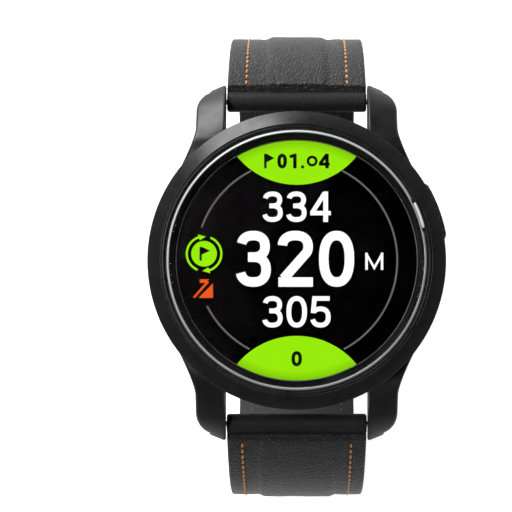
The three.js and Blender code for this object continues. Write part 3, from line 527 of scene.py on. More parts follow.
LUG_SHOULDER = LUG_REACH - 6.5
LUG_ROOT = Vector((math.cos(math.radians(30)), math.sin(math.radians(30)))) * (CASE_RADIUS - 0.25)
LUG_CONTROL = Vector((LUG_OUTER, LUG_SHOULDER - 2.0))
LUG_TOP = 9.3
LUG_FALL_FROM = CASE_RADIUS - 3.7
LUG_UNDERSIDE_FROM = 12.4
LUG_CORNER = 2.6
LUG_CORNER_TURN = math.radians(72)


def lug_side(share):
    """The flared outer side of a lug, from the case to its shoulder."""
    end = Vector((LUG_OUTER, LUG_SHOULDER))
    return (1 - share) ** 2 * LUG_ROOT + 2 * share * (1 - share) * LUG_CONTROL + share**2 * end


def lug_top(y):
    """Height of a lug's top above the back: level by the case, then falling to the tip."""
    share = max(0.0, (y - LUG_FALL_FROM) / (LUG_REACH - LUG_FALL_FROM))
    return LUG_TOP - 1.7 * share - 3.7 * share**2.1


def lug_bottom(y):
    share = (y - LUG_UNDERSIDE_FROM) / (LUG_REACH - LUG_UNDERSIDE_FROM)
    return lerp(1.8, 0.9, share)


def lug_rows():
    """Pairs of inner and outer points along a lug, with how far the end has rounded off."""
    rows = [(Vector((LUG_INNER, 6)), Vector((LUG_ROOT.x, 6)), 0.0)]
    for k in range(13):
        outer = lug_side(k / 12)
        rows.append((Vector((LUG_INNER, outer.y)), outer, 0.0))
    straight_end = LUG_REACH - 4.0
    for k in range(1, 9):
        y = lerp(LUG_SHOULDER, straight_end, k / 8)
        rows.append((Vector((LUG_INNER, y)), Vector((LUG_OUTER, y)), 0.0))
    for k in range(1, 9):
        angle = LUG_CORNER_TURN * k / 8
        x = LUG_OUTER - LUG_CORNER * (1 - math.cos(angle))
        y = straight_end + 1.15 * LUG_CORNER * math.sin(angle)
        inner_y = lerp(straight_end, LUG_REACH - 0.25, math.sin(angle) / math.sin(LUG_CORNER_TURN))
        rows.append((Vector((LUG_INNER, inner_y)), Vector((x, y)), 0.0))
    inner, outer, _ = rows[-1]
    for k in range(1, 5):
        angle = math.radians(90 * k / 4)
        step = Vector((0.05, 0.25)) * math.sin(angle)
        rows.append((inner + step, outer + step, 0.32 * (1 - math.cos(angle))))
    return rows


def lug(mirror_x, mirror_y):
    rows = []
    for inner, outer, pulled_in in lug_rows():
        across = outer - inner
        width = across.length
        low_in = lug_bottom(inner.y) + pulled_in
        low_out = lug_bottom(outer.y) + 0.5 + pulled_in
        fall = 1.35 * smooth(inner.y, CASE_RADIUS - 5.5, CASE_RADIUS + 0.5)
        high_in = lug_top(inner.y) - pulled_in
        high_out = lug_top(outer.y) - fall - pulled_in
        end = width - pulled_in
        corners = [(pulled_in, low_in, 0.3), (end, low_out, 0.7), (end, high_out, 0.55)]
        row = []
        for along, up in rounded(corners + [(pulled_in, high_in, 0.28)]):
            x = inner.x + across.x * along / width
            y = inner.y + across.y * along / width
            row.append((mirror_x * x, mirror_y * y, BACK_Z + up))
        rows.append(row)
    return skin(rows, caps=True)


def mid_case():
    profile = rounded([
        (CAVITY_RADIUS, MID_FOOT, 0), (18.4, MID_FOOT, 0.1),
        (19.0, 1.8, 0.5), (19.9, 4.4, 3.0),
        (20.4, 6.0, 2.5), (20.4, 9.72, 0.25),
        (20.05, BEZEL_FOOT, 0.1), (CAVITY_RADIUS, BEZEL_FOOT, 0),
    ])
    body = piece("case_body", *lathe(profile), CASE_BLACK, "case_black", 30)
    for mirror_x in (1, -1):
        for mirror_y in (1, -1):
            horn = piece("lug", *lug(mirror_x, mirror_y), CASE_BLACK, None, 30)
            cut(horn, lathe([(0, 0), (18.2, 0), (18.2, 12), (0, 12)]), 30)
            carve(body, horn, "UNION", 30)
    pocket = block((18.3, -4.7, BUTTON_LEVEL - 1.7), (23, 4.7, BUTTON_LEVEL + 1.7))
    bores = [
        rod_x(0.55, side * (LUG_INNER - 1), side * (LUG_INNER + 1.4), end * BAR_Y, BAR_Z)
        for side in (1, -1)
        for end in (1, -1)
    ]
    cut(body, merged([turned_about_z(pocket, BUTTON_ANGLE), *bores]), 30)
    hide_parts("mid_case")
    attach(body, "case")


def bezel():
    profile = rounded([
        (SEAT_RADIUS, BEZEL_FOOT, 0), (20.15, BEZEL_FOOT, 0.08),
        (20.6, 10.42, 0.2), (20.58, 11.08, 0.08),
        (18.74, BEZEL_CREST, 0.08), (18.62, BEZEL_CREST, 0.04),
        (18.6, 12.2, 0), (18.5, 12.2, 0),
        (18.48, 12.42, 0.05), (18.2, 12.42, 0.05),
        (18.18, TRIM_FOOT, 0), (SEAT_RADIUS, TRIM_FOOT, 0),
    ])
    ring = piece("bezel_ring", *lathe(profile, 256), BEZEL_BLACK, "bezel_black", 30)
    notch = [(18.0, TRIM_FOOT), (18.3, TRIM_FOOT), (18.3, 13), (18.0, 13)]
    cut(ring, arc_bar(13.2, 26.8, 24, lambda inset: notch), 30)
    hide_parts("bezel")
    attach(ring, "case")


def arc_bar(start, end, steps, section, ends=0.0):
    """A bar round part of the case: section gives its outline for an inset, which grows to both ends."""
    rows = []
    for k in range(steps + 1):
        near = min(k, steps - k, 4)
        inset = ends * (1 - math.sin(math.radians(90 * near / 4)))
        rows.append(swung(section(inset), math.radians(lerp(start, end, k / steps))))
    return skin(rows, caps=True)


def trim():
    rows = []
    steps = 720
    for k in range(steps):
        degrees = 360 * k / steps
        kink = smooth(degrees, 12.0, 12.9) * (1 - smooth(degrees, 27.1, 28.0))
        outer = lerp(17.86, 17.7, kink)
        outline = rounded([
            (TRIM_INNER, TRIM_FOOT, 0), (outer, TRIM_FOOT, 0),
            (outer, 12.28, 0.04), (TRIM_INNER + 0.06, 12.6 - 0.1 * kink, 0.04),
            (TRIM_INNER, 12.5, 0),
        ])
        rows.append(swung(outline, math.radians(degrees)))
    ring = piece("trim_line", *skin(rows, around=True), TRIM, "polished_trim", 40)
    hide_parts("trim_ring")
    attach(ring, "case")

    def mark(inset):
        inner = 17.73 + inset
        outer = 18.15 - inset
        foot = [(inner, TRIM_FOOT, 0), (outer, TRIM_FOOT, 0)]
        return rounded(foot + [(outer, 12.62 - inset, 0.1), (inner, 12.58 - inset, 0.14)])

    marker = piece("trim_mark", *arc_bar(14.2, 25.8, 24, mark, 0.05), TRIM, "polished_trim", 40)
    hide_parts("trim_marker")
    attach(marker, "case")


def levels(node):
    """Heights of a CAD node's lowest and highest points above the back."""
    low, high = box_mm(node)
    return low.z - BACK_Z, high.z - BACK_Z


def glass_and_rings():
    low, high = levels("lens")
    radius = SEAT_RADIUS - 0.03
    profile = rounded([(0, low, 0), (radius, low, 0.1), (radius, high, 0.12), (0, high, 0)])
    lens = piece("lens_clear", *lathe(profile), GLASS, "lens_glass")
    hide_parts("lens")
    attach(lens, "case")

    low, high = levels("chapter_ring")
    profile = rounded([
        (16.52, low, 0), (17.6, low, 0),
        (17.6, high, 0.05), (17.08, high, 0.05),
        (17.03, high - 0.2, 0), (16.6, high - 0.24, 0.05),
        (16.52, high - 0.3, 0.03),
    ])
    chapter = piece("chapter_step", *lathe(profile), CHAPTER, "chapter_black")
    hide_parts("chapter_ring")
    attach(chapter, "case")
    # Two thin rings on the chapter ring, light grey as a painted reflection along its steps.
    lines = (("painted_chapter_reflection_outer", 17.12, 17.32, high), ("painted_chapter_reflection_inner", 16.55, 16.62, high - 0.25))
    for name, inner, outer, top in lines:
        foot = top - 0.1
        crest = top + 0.035
        profile = rounded([(inner, foot, 0), (outer, foot, 0), (outer, crest, 0.03), (inner, crest, 0.03)])
        line = piece(name, *lathe(profile), PAINTED_CHAPTER_REFLECTION, "chapter_black")
        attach(line, "case")

    low, high = levels("display_panel")
    radius = DISPLAY_HIGH.x
    profile = rounded([(0, low, 0), (radius, low, 0.1), (radius, high, 0.08), (0, high, 0)])
    panel = piece("display_glass", *lathe(profile), DISPLAY, "display")
    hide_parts("display_panel")
    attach(panel, "case")


def button():
    def section(inset):
        low = BUTTON_LEVEL - BACK_Z - BUTTON_HALF_HEIGHT + inset
        high = BUTTON_LEVEL - BACK_Z + BUTTON_HALF_HEIGHT - inset
        face = BUTTON_OUTER - inset
        return rounded([(19.4, low, 0.1), (face, low, 0.5), (face, high, 0.45), (19.4, high, 0.1)])

    half = BUTTON_SPAN / 2
    shape = arc_bar(BUTTON_ANGLE - half, BUTTON_ANGLE + half, 40, section, 0.45)
    cap = piece("button_top", *shape, BEZEL_BLACK, "case_black", 40)
    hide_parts("button_cap")
    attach(cap, "button")


def back_cover():
    rim = [(COVER_RADIUS, 0.7, 0.2), (COVER_RADIUS, MID_FOOT, 0.05)]
    profile = rounded([(0, 0, 0), (17.6, 0, 0.4), *rim, (0, MID_FOOT, 0)])
    cover = piece("back_plate", *lathe(profile), BACK, "case_black", 30)
    screw_hole = [(0, -1), (1.15, -1), (1.15, 0.6), (0.6, 0.6), (0.6, 2), (0, 2)]
    cutters = []
    for k in range(1, 5):
        cutters.append(lathe(screw_hole, 32, box_middle(f"back_screw_{k}")))
        contact = f"charge_contact_{k}"
        low, high = box_mm(contact)
        radius = (high.x - low.x) / 2 + 0.05
        cutters.append(lathe([(0, -1), (radius, -1), (radius, 2), (0, 2)], 32, box_middle(contact)))
    cut(cover, merged(cutters), 30)
    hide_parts("back_cover")
    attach(cover, "case")


# ---- Display ----

SCREEN = DISPLAY_HIGH.z
INK_STEP = 0.012
LIT_LEVEL = 0.004
INK_LEVEL = 0.03
FIELD_CENTRE = 21.26
FIELD_RADIUS = 10.73
ICON_RING = 2.41


def arc_points(centre, radius, start, end, steps):
    angles = [math.radians(lerp(start, end, k / steps)) for k in range(steps + 1)]
    return [(centre[0] + radius * math.cos(a), centre[1] + radius * math.sin(a)) for a in angles]


def band(centre, radius, width, start, end, steps=48):
    outer = arc_points(centre, radius + width / 2, start, end, steps)
    inner = arc_points(centre, radius - width / 2, start, end, steps)
    return [(outer[k], outer[k + 1], inner[k + 1], inner[k]) for k in range(steps)]


def quads(name, faces_2d, material):
    """Thin flat shapes on the display, from faces in millimetres. Ink lies above what is lit."""
    level = INK_LEVEL if material is INK else LIT_LEVEL
    vertices = []
    faces = []
    for face in faces_2d:
        start = len(vertices)
        vertices.extend((x * SCREEN_SCALE, y * SCREEN_SCALE, SCREEN + level) for x, y in face)
        faces.append(tuple(start + k for k in range(len(face))))
    obj = piece(name, vertices, faces, material, "display")
    work = bmesh.new()
    work.from_mesh(obj.data)
    extruded = bmesh.ops.extrude_face_region(work, geom=work.faces[:])
    lifted = [item for item in extruded["geom"] if isinstance(item, bmesh.types.BMVert)]
    bmesh.ops.translate(work, verts=lifted, vec=(0, 0, INK_STEP * MM))
    bmesh.ops.recalc_face_normals(work, faces=work.faces)
    work.to_mesh(obj.data)
    work.free()
    shade(obj)
    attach(obj, "case")


def ribbon(points, width, closed=False):
    """Faces of a flat stroke of even width along a line, mitred at its corners."""
    points = [Vector(p) for p in points]
    count = len(points)
    sides = []
    for k, point in enumerate(points):
        before = points[k - 1] if closed or k else points[0] * 2 - points[1]
        after = points[(k + 1) % count] if closed or k < count - 1 else point * 2 - points[k - 1]
        into = (point - before).normalized()
        along = (into + (after - point).normalized()).normalized()
        reach = width / 2 / max(0.4, along.dot(into))
        out = Vector((-along.y, along.x)) * reach
        sides.append((point + out, point - out))
    faces = []
    for k in range(count if closed else count - 1):
        a, b = sides[k], sides[(k + 1) % count]
        faces.append((a[0], b[0], b[1], a[1]))
    return faces


def squarish(angle, power):
    """The point at an angle on a unit circle that is drawn out towards a square."""
    c = math.cos(angle)
    s = math.sin(angle)
    return math.copysign(abs(c) ** (2 / power), c), math.copysign(abs(s) ** (2 / power), s)


def bowl(x, y, half_width, half_height, start, end, steps=26):
    """Points round a squarish oval, from one angle to another."""
    points = []
    for k in range(steps + 1):
        across, up = squarish(math.radians(lerp(start, end, k / steps)), 2.35)
        points.append((x + half_width * across, y + half_height * up))
    return points


def figure_strokes(figure, w, h, t):
    """The strokes of a figure in a box w wide and h high, as faces. t is the stroke's width."""
    m = t / 2
    middle = 0.53 * h
    if figure == "0":
        return ribbon(bowl(w / 2, h / 2, w / 2 - m, h / 2 - m, 0, 350, 35), t, closed=True)
    if figure == "1":
        stem = ribbon([(0.66 * w, 0), (0.66 * w, h)], t)
        return stem + ribbon([(0.66 * w, h - m), (0.12 * w, 0.8 * h)], t * 0.92)
    if figure == "2":
        top = bowl(w / 2, 0.72 * h, w / 2 - m, 0.28 * h - m, 176, -30)
        return ribbon(top + [(0.62 * t, 0.85 * t)], t) + ribbon([(0.02 * w, m), (w, m)], t)
    if figure == "3":
        rise = (h - m - middle) / 2
        drop = (middle - m) / 2
        top = bowl(0.48 * w, middle + rise, 0.47 * w - m, rise, 168, -90)
        low = bowl(0.48 * w, m + drop, 0.5 * w - m, drop, 90, -168)
        shelf = (0.33 * w, middle)
        return ribbon(top + [shelf], t) + ribbon([shelf] + low, t)
    if figure == "4":
        bar = ribbon([(0, 0.29 * h), (w, 0.29 * h)], t * 0.92)
        stem = ribbon([(0.75 * w, 0), (0.75 * w, h)], t)
        return bar + stem + ribbon([(0.1 * w, 0.31 * h), (0.7 * w, h - 0.35 * t)], t * 0.95)
    if figure == "5":
        stem = ribbon([(0.94 * w, h - m), (0.2 * w, h - m), (0.13 * w, 0.46 * h)], t * 0.95)
        return stem + ribbon(bowl(0.49 * w, 0.335 * h, 0.5 * w - m, 0.335 * h - m, 142, -166), t)
    stems = ribbon([(m, 0), (m, h)], t) + ribbon([(w - m, 0), (w - m, h)], t)
    return stems + ribbon([(m, h - 0.6 * t), (w / 2, 0.12 * h), (w - m, h - 0.6 * t)], t * 0.9)


def moved(faces, dx, dy):
    return [[(x + dx, y + dy) for x, y in face] for face in faces]


def figures(text, centre, width, height, stroke):
    """Faces of plain figures side by side, filling a width and a height."""
    gap = 0.11 * height
    cell = (width - gap * (len(text) - 1)) / len(text)
    faces = []
    for k, figure in enumerate(text):
        left = centre[0] - width / 2 + k * (cell + gap)
        faces += moved(figure_strokes(figure, cell, height, stroke), left, centre[1] - height / 2)
    return faces


def fan(centre, rim):
    """Faces from a centre to each side of a closed rim."""
    return [(centre, rim[k], rim[(k + 1) % len(rim)]) for k in range(len(rim))]


def green_field(name, side):
    """The green field at the top or bottom of the display, between its rim and a second arc."""
    reach = (FIELD_CENTRE**2 + LIT_RADIUS**2 - FIELD_RADIUS**2) / (2 * FIELD_CENTRE)
    half = math.degrees(math.acos(reach / LIT_RADIUS))
    rim = arc_points((0, 0), LIT_RADIUS, 90 - half, 90 + half, 48)
    second = math.degrees(math.atan2(FIELD_CENTRE - reach, math.sqrt(LIT_RADIUS**2 - reach**2)))
    inner = arc_points((0, FIELD_CENTRE), FIELD_RADIUS, -180 + second, -second, 48)
    outline = [(x, side * y) for x, y in rim[:-1] + inner[:-1]]
    if side < 0:
        outline.reverse()
    quads(name, fan((0, side * 13.6), outline), GREEN_LIGHT)


def rectangle(left, right, low, high):
    return [(left, low), (right, low), (right, high), (left, high)]


def display():
    green_field("field_top", 1)
    green_field("field_bottom", -1)
    quads("figures_top", figures("334", (0, 7.46), 9.5, 4.25, 0.66), WHITE_LIGHT)
    quads("figures_middle", figures("320", (-0.2, 0.2), 16.4, 7.8, 1.32), WHITE_LIGHT)
    quads("figures_bottom", figures("305", (0, -7.18), 9.5, 4.37, 0.66), WHITE_LIGHT)
    quads("unit_mark", figures("M", (10.8, -0.15), 2.5, 2.4, 0.34), WHITE_LIGHT)
    y = 13.84
    label = [rectangle(-4.55, -4.2, y - 1.02, y + 1.02)]
    label += [[(-4.2, y - 0.15), (-3.1, y + 0.4), (-4.2, y + 1.02)]]
    label += figures("01", (-1.25, y), 2.9, 2.05, 0.48)
    label += [rectangle(0.62, 1.02, y - 1.02, y - 0.62)]
    label += band((2.15, y), 0.58, 0.36, 0, 360, 36)
    label += figures("4", (3.85, y), 1.5, 2.05, 0.48)
    quads("field_label", label, INK)
    quads("lower_label", figures("0", (0, -13.7), 1.45, 2.1, 0.48), INK)
    arcs = band((0, 0), 14.0, 0.25, -62, 63, 96)
    arcs += band((0, 0), 14.0, 0.25, 117, 161, 36)
    arcs += band((0, 0), 14.0, 0.25, 207, 242, 30)
    quads("dial_arcs", arcs, GREY_LIGHT)
    centre = (-12.9, 0.9)
    faces = fan(centre, arc_points(centre, 1.79, 0, 350, 35))
    for turn in (0, 180):
        faces += band(centre, ICON_RING, 0.3, 108 + turn, 248 + turn, 24)
        tip = arc_points(centre, ICON_RING, 108 + turn, 84 + turn, 1)[1]
        out = arc_points(centre, ICON_RING + 0.44, 108 + turn, 108 + turn, 1)[0]
        back = arc_points(centre, ICON_RING - 0.44, 108 + turn, 108 + turn, 1)[0]
        faces.append((out, tip, back))
    quads("round_icon", faces, GREEN_MARK)
    x, y = centre
    small_flag = [
        rectangle(x - 0.62, x - 0.32, y - 0.95, y + 0.95),
        [(x - 0.32, y - 0.1), (x + 0.85, y + 0.42), (x - 0.32, y + 0.95)],
    ]
    quads("round_icon_flag", small_flag, INK)
    x, y = -12.9, -3.95
    slope = [
        [(x - 0.75, y - 1.3), (x + 1.25, y - 1.3), (x + 1.25, y + 0.75)],
        [(x - 1.55, y - 1.2), (x - 1.25, y - 1.3), (x + 0.75, y + 0.95), (x + 0.35, y + 0.98)],
        [(x - 0.6, y + 0.8), (x + 0.2, y + 0.8), (x + 0.75, y + 1.3), (x - 0.6, y + 1.3)],
    ]
    quads("slope_icon", slope, ORANGE_LIGHT)


# ---- Strap ----

COLUMNS = (
    [0.0, 0.06, 0.16, 0.3, 0.5, 0.75, 1.1]
    + [1.5, 1.7, 1.85, 2.0, 2.12, 2.25, 2.38, 2.5, 2.65, 2.8, 3.0, 3.3]
    + [3.7, 4.05, 4.3, 4.55, 4.8, 5.05, 5.3, 5.55, 5.8, 6.1, 6.5, 7.0, 7.5, 8.1, 8.8]
)


def column_places():
    """Places across the strap from its left edge to its right one, at its width by the lug."""
    half = WIDTH_AT_LUG / 2
    left = [-half + c for c in COLUMNS]
    return left + [0.0] + [-x for x in reversed(left)]


def edge_drop(x, half, radius):
    """How far a rounded edge has fallen at x."""
    q = min(1.0, max(0.0, (abs(x) - (half - radius)) / radius))
    return radius * (1 - math.sqrt(max(0.0, 1 - q * q)))


class Strap:
    """One half of the strap: where its layers' faces lie, and how wide it is."""

    def __init__(self, side, stitch_x, pad_half, free_end):
        self.side = side
        self.stitch_x = stitch_x
        self.pad_half = pad_half
        self.free_end = free_end

    def shift(self, s):
        return tail_shift(s) if self.side < 0 else 0.0

    def width(self, s):
        width = strap_width(s)
        if self.side < 0:
            share = min(1.0, max(0.0, (TAIL_TIP_AT - s) / 7))
            width *= 0.3 + 0.7 * math.sqrt(max(0.0, 1 - (1 - share) ** 2))
        return width

    def outer(self, s, x):
        """Height of the leather's outer face: padded in the middle, grooved along the stitches."""
        height = 0.0
        reach = abs(s)
        padded = smooth(reach, 24, 40)
        past_pad = abs(x) - self.pad_half
        height += 0.3 * padded * (1 - smooth(past_pad, -0.75, 0.35))
        height -= 0.05 * padded * smooth(past_pad, -0.2, 0.5) * (1 - smooth(past_pad, 0.6, 1.4))
        height -= 0.12 * math.exp(-(((abs(x) - self.stitch_x) / 0.24) ** 2))
        height += 0.05 * noise.noise(Vector((x * 0.35, s * 0.22, 3.0 * self.side)))
        from_bar = HALF_PATH - reach
        shoulder = 1 - smooth(from_bar, 1.25, 1.8)
        crumple = noise.noise(Vector((x * 0.9, s * 0.5, 7.0 * self.side)))
        height -= (0.78 + 0.16 * crumple) * shoulder
        height += 0.16 * crumple * smooth(from_bar, 1.4, 1.9) * (1 - smooth(from_bar, 2.3, 4.2))
        return height + self.shift(s)

    def stations(self, to):
        """Path distances from the free end to the lug, closer together near the bar."""
        start = self.free_end
        end = self.side * to
        count = int(abs(end - start) / 0.62)
        near = [self.side * (to - 0.2 * k) for k in range(16)]
        far = [lerp(start, near[-1], k / count) for k in range(count)]
        return far + list(reversed(near))


UPPER = Strap(1, 7.15, 4.3, BUCKLE_BAR_AT)
LOWER = Strap(-1, 7.7, 5.5, TAIL_TIP_AT)


LOOP_STEPS = 18


def strap_axes(at):
    """Directions along the strap and outwards from it, at a path distance."""
    along = (strap_point(at + 0.01, 0) - strap_point(at - 0.01, 0)).normalized()
    return along, (strap_point(at, 1) - strap_point(at, 0)).normalized()


def loop_points(at, depth, radius, start, end):
    """Points round a bar at a path distance, from one angle to another, 0 being outwards."""
    centre = strap_point(at, -depth)
    along, outwards = strap_axes(at)
    points = []
    for k in range(LOOP_STEPS + 1):
        angle = math.radians(lerp(start, end, k / LOOP_STEPS))
        arm = outwards * math.cos(angle) + along * math.sin(angle)
        points.append(centre + arm * radius)
    return points


def strap_leather(strap, name):
    """The leather of one strap half: out along its face, round the bars and back along its underside."""
    edge_radius = 0.42
    side = strap.side
    half = WIDTH_AT_LUG / 2
    stations = strap.stations(HALF_PATH - 1.2)
    columns = []
    for place in column_places():
        column = []
        drop = edge_drop(place, half, edge_radius)
        for s in stations:
            x = place * strap.width(s) / WIDTH_AT_LUG
            column.append(strap_point(s, strap.outer(s, place) - drop, x))
        arc = loop_points(side * HALF_PATH, BAR_DEPTH, BAR_LOOP - drop * 0.8, -46 * side, 205 * side)
        column += [Vector((place, p.y, p.z)) for p in arc]
        for s in reversed(stations):
            if side > 0:
                s = max(s, BUCKLE_BAR_AT + 1.4)
            x = place * strap.width(s) / WIDTH_AT_LUG
            under = -strap_thickness(s) + LINING + GLUE_LINE + strap.shift(s) + drop * 0.6
            column.append(strap_point(s, under, x))
        if side > 0:
            x = place * strap.width(BUCKLE_BAR_AT) / WIDTH_AT_LUG
            arc = loop_points(BUCKLE_BAR_AT, BUCKLE_BAR_DEPTH, BUCKLE_LOOP - drop * 0.8, 78, 360)
            column += [Vector((x, p.y, p.z)) for p in arc[1:-1]]
        columns.append(column)
    vertices, faces = skin(columns)
    count = len(columns[0])
    n = len(stations)
    underside_end = 2 * n + LOOP_STEPS
    for start, flip in ((0, False), ((len(columns) - 1) * count, True)):
        ends = []
        for k in range(n - 1):
            top = start + k
            low = start + underside_end - k
            ends.append((top, low, low - 1, top + 1))
        ends.append(tuple(start + n - 1 + k for k in range(LOOP_STEPS + 3))[::-1])
        if side > 0:
            ends.append((start, *(start + k for k in range(underside_end, count))))
        faces += ends if flip else [face[::-1] for face in ends]
    return piece(name, vertices, faces, LEATHER, "strap_leather", 50)


def strap_lining(strap, name, free_end):
    """The smooth layer next to the wrist."""
    steps = 130
    rows = []
    for k in range(steps + 1):
        s = lerp(free_end, strap.side * (HALF_PATH - 2.05), k / steps)
        half = strap.width(s) / 2
        low = -strap_thickness(s) + strap.shift(s)
        high = low + LINING
        outline = rounded([(-half, low, 0.38), (half, low, 0.38), (half, high, 0.1), (-half, high, 0.1)], 3)
        rows.append([strap_point(s, p.y, p.x) for p in outline])
    return piece(name, *skin(rows, caps=True), LINING_LEATHER, "strap_lining", 50)


def stitch(centre, along, up, length, width, height):
    """One stitch: a small thread lying along the strap, its ends sunk in."""
    across = Vector((1, 0, 0))
    turns = [math.tau * j / 8 for j in range(8)]
    rows = []
    for k in range(7):
        t = -1 + 2 * k / 6
        swell = math.sqrt(max(0.02, 1 - t**4))
        middle = centre + along * (t * length / 2) - up * (0.16 * t**4)
        wide = width / 2 * swell
        tall = height / 2 * swell
        rows.append([middle + across * (wide * math.cos(a)) + up * (tall * math.sin(a)) for a in turns])
    return skin(rows, caps=True)


def stitches(strap, name, start, end):
    """Two rows of thread on each face: orange outside, dark against the wrist."""
    outer = []
    inner = []
    pitch = 1.06
    count = int(abs(end - start) / pitch)
    for edge in (-1, 1):
        for k in range(count + 1):
            s = start + (end - start) * k / count
            x = edge * strap.stitch_x * (strap.width(s) / WIDTH_AT_LUG)
            along, up = strap_axes(s)
            leaning = (along + Vector((0.06 * edge, 0, 0))).normalized()
            top = strap_point(s, strap.outer(s, strap.stitch_x) + 0.07, x)
            outer.append(stitch(top, leaning, up, 0.76, 0.34, 0.3))
            low = strap_point(s, -strap_thickness(s) + strap.shift(s) - 0.01, x)
            inner.append(stitch(low, along, -up, 0.7, 0.3, 0.14))
    return [
        piece(f"{name}_stitches", *merged(outer), THREAD, "stitch_thread", 60),
        piece(f"{name}_inner_stitches", *merged(inner), INNER_THREAD, "strap_lining", 60),
    ]


def hole_cutters():
    turns = [math.tau * k / 28 for k in range(28)]
    rim = [(HOLE_HALF_LENGTH * math.sin(a), HOLE_HALF_WIDTH * math.cos(a)) for a in turns]
    cutters = []
    for s in HOLES_AT:
        rows = [[strap_point(s + along, out, x) for along, x in rim] for out in (-4.5, 4.5)]
        cutters.append(skin(rows, caps=True))
    return merged(cutters)


def darken_folds(obj, bar_y):
    """Smooth, dull black leather where the strap is folded round its spring bar. Its darkness is partly the
    leather's own and partly painted shade, for the shade of the lugs on the fold.
    """
    obj.data.materials.append(FOLD_LEATHER)
    for polygon in obj.data.polygons:
        middle = polygon.center / MM
        if math.hypot(middle.y - bar_y, middle.z - BAR_Z) < BAR_LOOP + 0.2:
            polygon.material_index = 1


def build_straps():
    upper = [
        strap_leather(UPPER, "upper_leather"),
        strap_lining(UPPER, "upper_lining", -5.15),
        *stitches(UPPER, "upper", -3.0, HALF_PATH - 2.4),
    ]
    lower = [
        strap_leather(LOWER, "lower_leather"),
        strap_lining(LOWER, "lower_lining", TAIL_TIP_AT - 0.1),
        *stitches(LOWER, "lower", TAIL_TIP_AT - 6.0, -(HALF_PATH - 2.7)),
    ]
    _, buckle_y, buckle_z = box_middle("buckle_bar")
    bar_bore = rod_x(BAR_BORE, -12, 12, BAR_Y, BAR_Z)
    cut(upper[0], merged([bar_bore, rod_x(BUCKLE_BORE, -12, 12, buckle_y, buckle_z)]), 50)
    cut(upper[0], block((-1.65, buckle_y - 3, -2), (1.65, buckle_y + 2.6, 9)), 50)
    cut(lower[0], merged([rod_x(BAR_BORE, -12, 12, -BAR_Y, BAR_Z), hole_cutters()]), 50)
    cut(lower[1], hole_cutters(), 50)
    darken_folds(upper[0], BAR_Y)
    darken_folds(lower[0], -BAR_Y)
    for obj in upper:
        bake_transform(obj)
    for obj in lower:
        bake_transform(obj)
    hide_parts("strap_upper_leather", "strap_upper_end_leather")
    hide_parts("strap_upper_lining", "strap_upper_end_lining")
    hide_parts("strap_lower_leather", "strap_lower_tail_leather")
    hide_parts("strap_lower_lining", "strap_lower_tail_lining")


def build_keepers():
    wall = KEEPER_WALL
    end = KEEPER_HALF_LENGTH
    section = rounded([(-end, 0.0, 0.2), (end, 0.0, 0.2), (end, wall, 0.35), (-end, wall, 0.35)], 3)
    low = -(THICKNESS_AT_BUCKLE + KEEPER_CLEARANCE) - wall
    high = THICKNESS_AT_BUCKLE + KEEPER_CLEARANCE + TAIL_GAP + wall
    half = WIDTH_AT_BUCKLE / 2 + KEEPER_SIDE_GAP + wall
    corners = rounded([(-half, low, 1.5), (half, low, 1.5), (half, high, 1.5), (-half, high, 1.5)], 8)
    path = []
    for k, p in enumerate(corners):
        following = corners[(k + 1) % len(corners)]
        shares = int((following - p).length / 0.8) + 1
        path += [p.lerp(following, j / shares) for j in range(shares)]
    for node, (at, body) in KEEPERS.items():
        rows = []
        for k, here in enumerate(path):
            ahead = path[(k + 1) % len(path)] - path[k - 1]
            inwards = Vector((-ahead.y, ahead.x)).normalized()
            places = [(p.x, here + inwards * (wall - p.y)) for p in section]
            rows.append([strap_point(at + along, place.y, place.x) for along, place in places])
        name = node.replace("keeper", "keeper_loop")
        obj = piece(name, *skin(rows, around=True), FOLD_LEATHER, "strap_leather", 50)
        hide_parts(node)
        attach(obj, body)


# ---- Buckle ----


def heading(path, k):
    return (path[min(k + 1, len(path) - 1)] - path[max(k - 1, 0)]).normalized()


def sweep(path, section_at):
    """A bar along a path: section_at gives each outline as (sideways, up) offsets for its place."""
    rows = []
    for k, point in enumerate(path):
        ahead = heading(path, k)
        sideways = ahead.cross(Vector((0, 0, 1))).normalized()
        up = sideways.cross(ahead).normalized()
        rows.append([point + sideways * a + up * b for a, b in section_at(k / (len(path) - 1))])
    return skin(rows, caps=True)


def oval(width, height, power=2.6, steps=20):
    points = [squarish(math.tau * k / steps, power) for k in range(steps)]
    return [(a * width / 2, b * height / 2) for a, b in points]


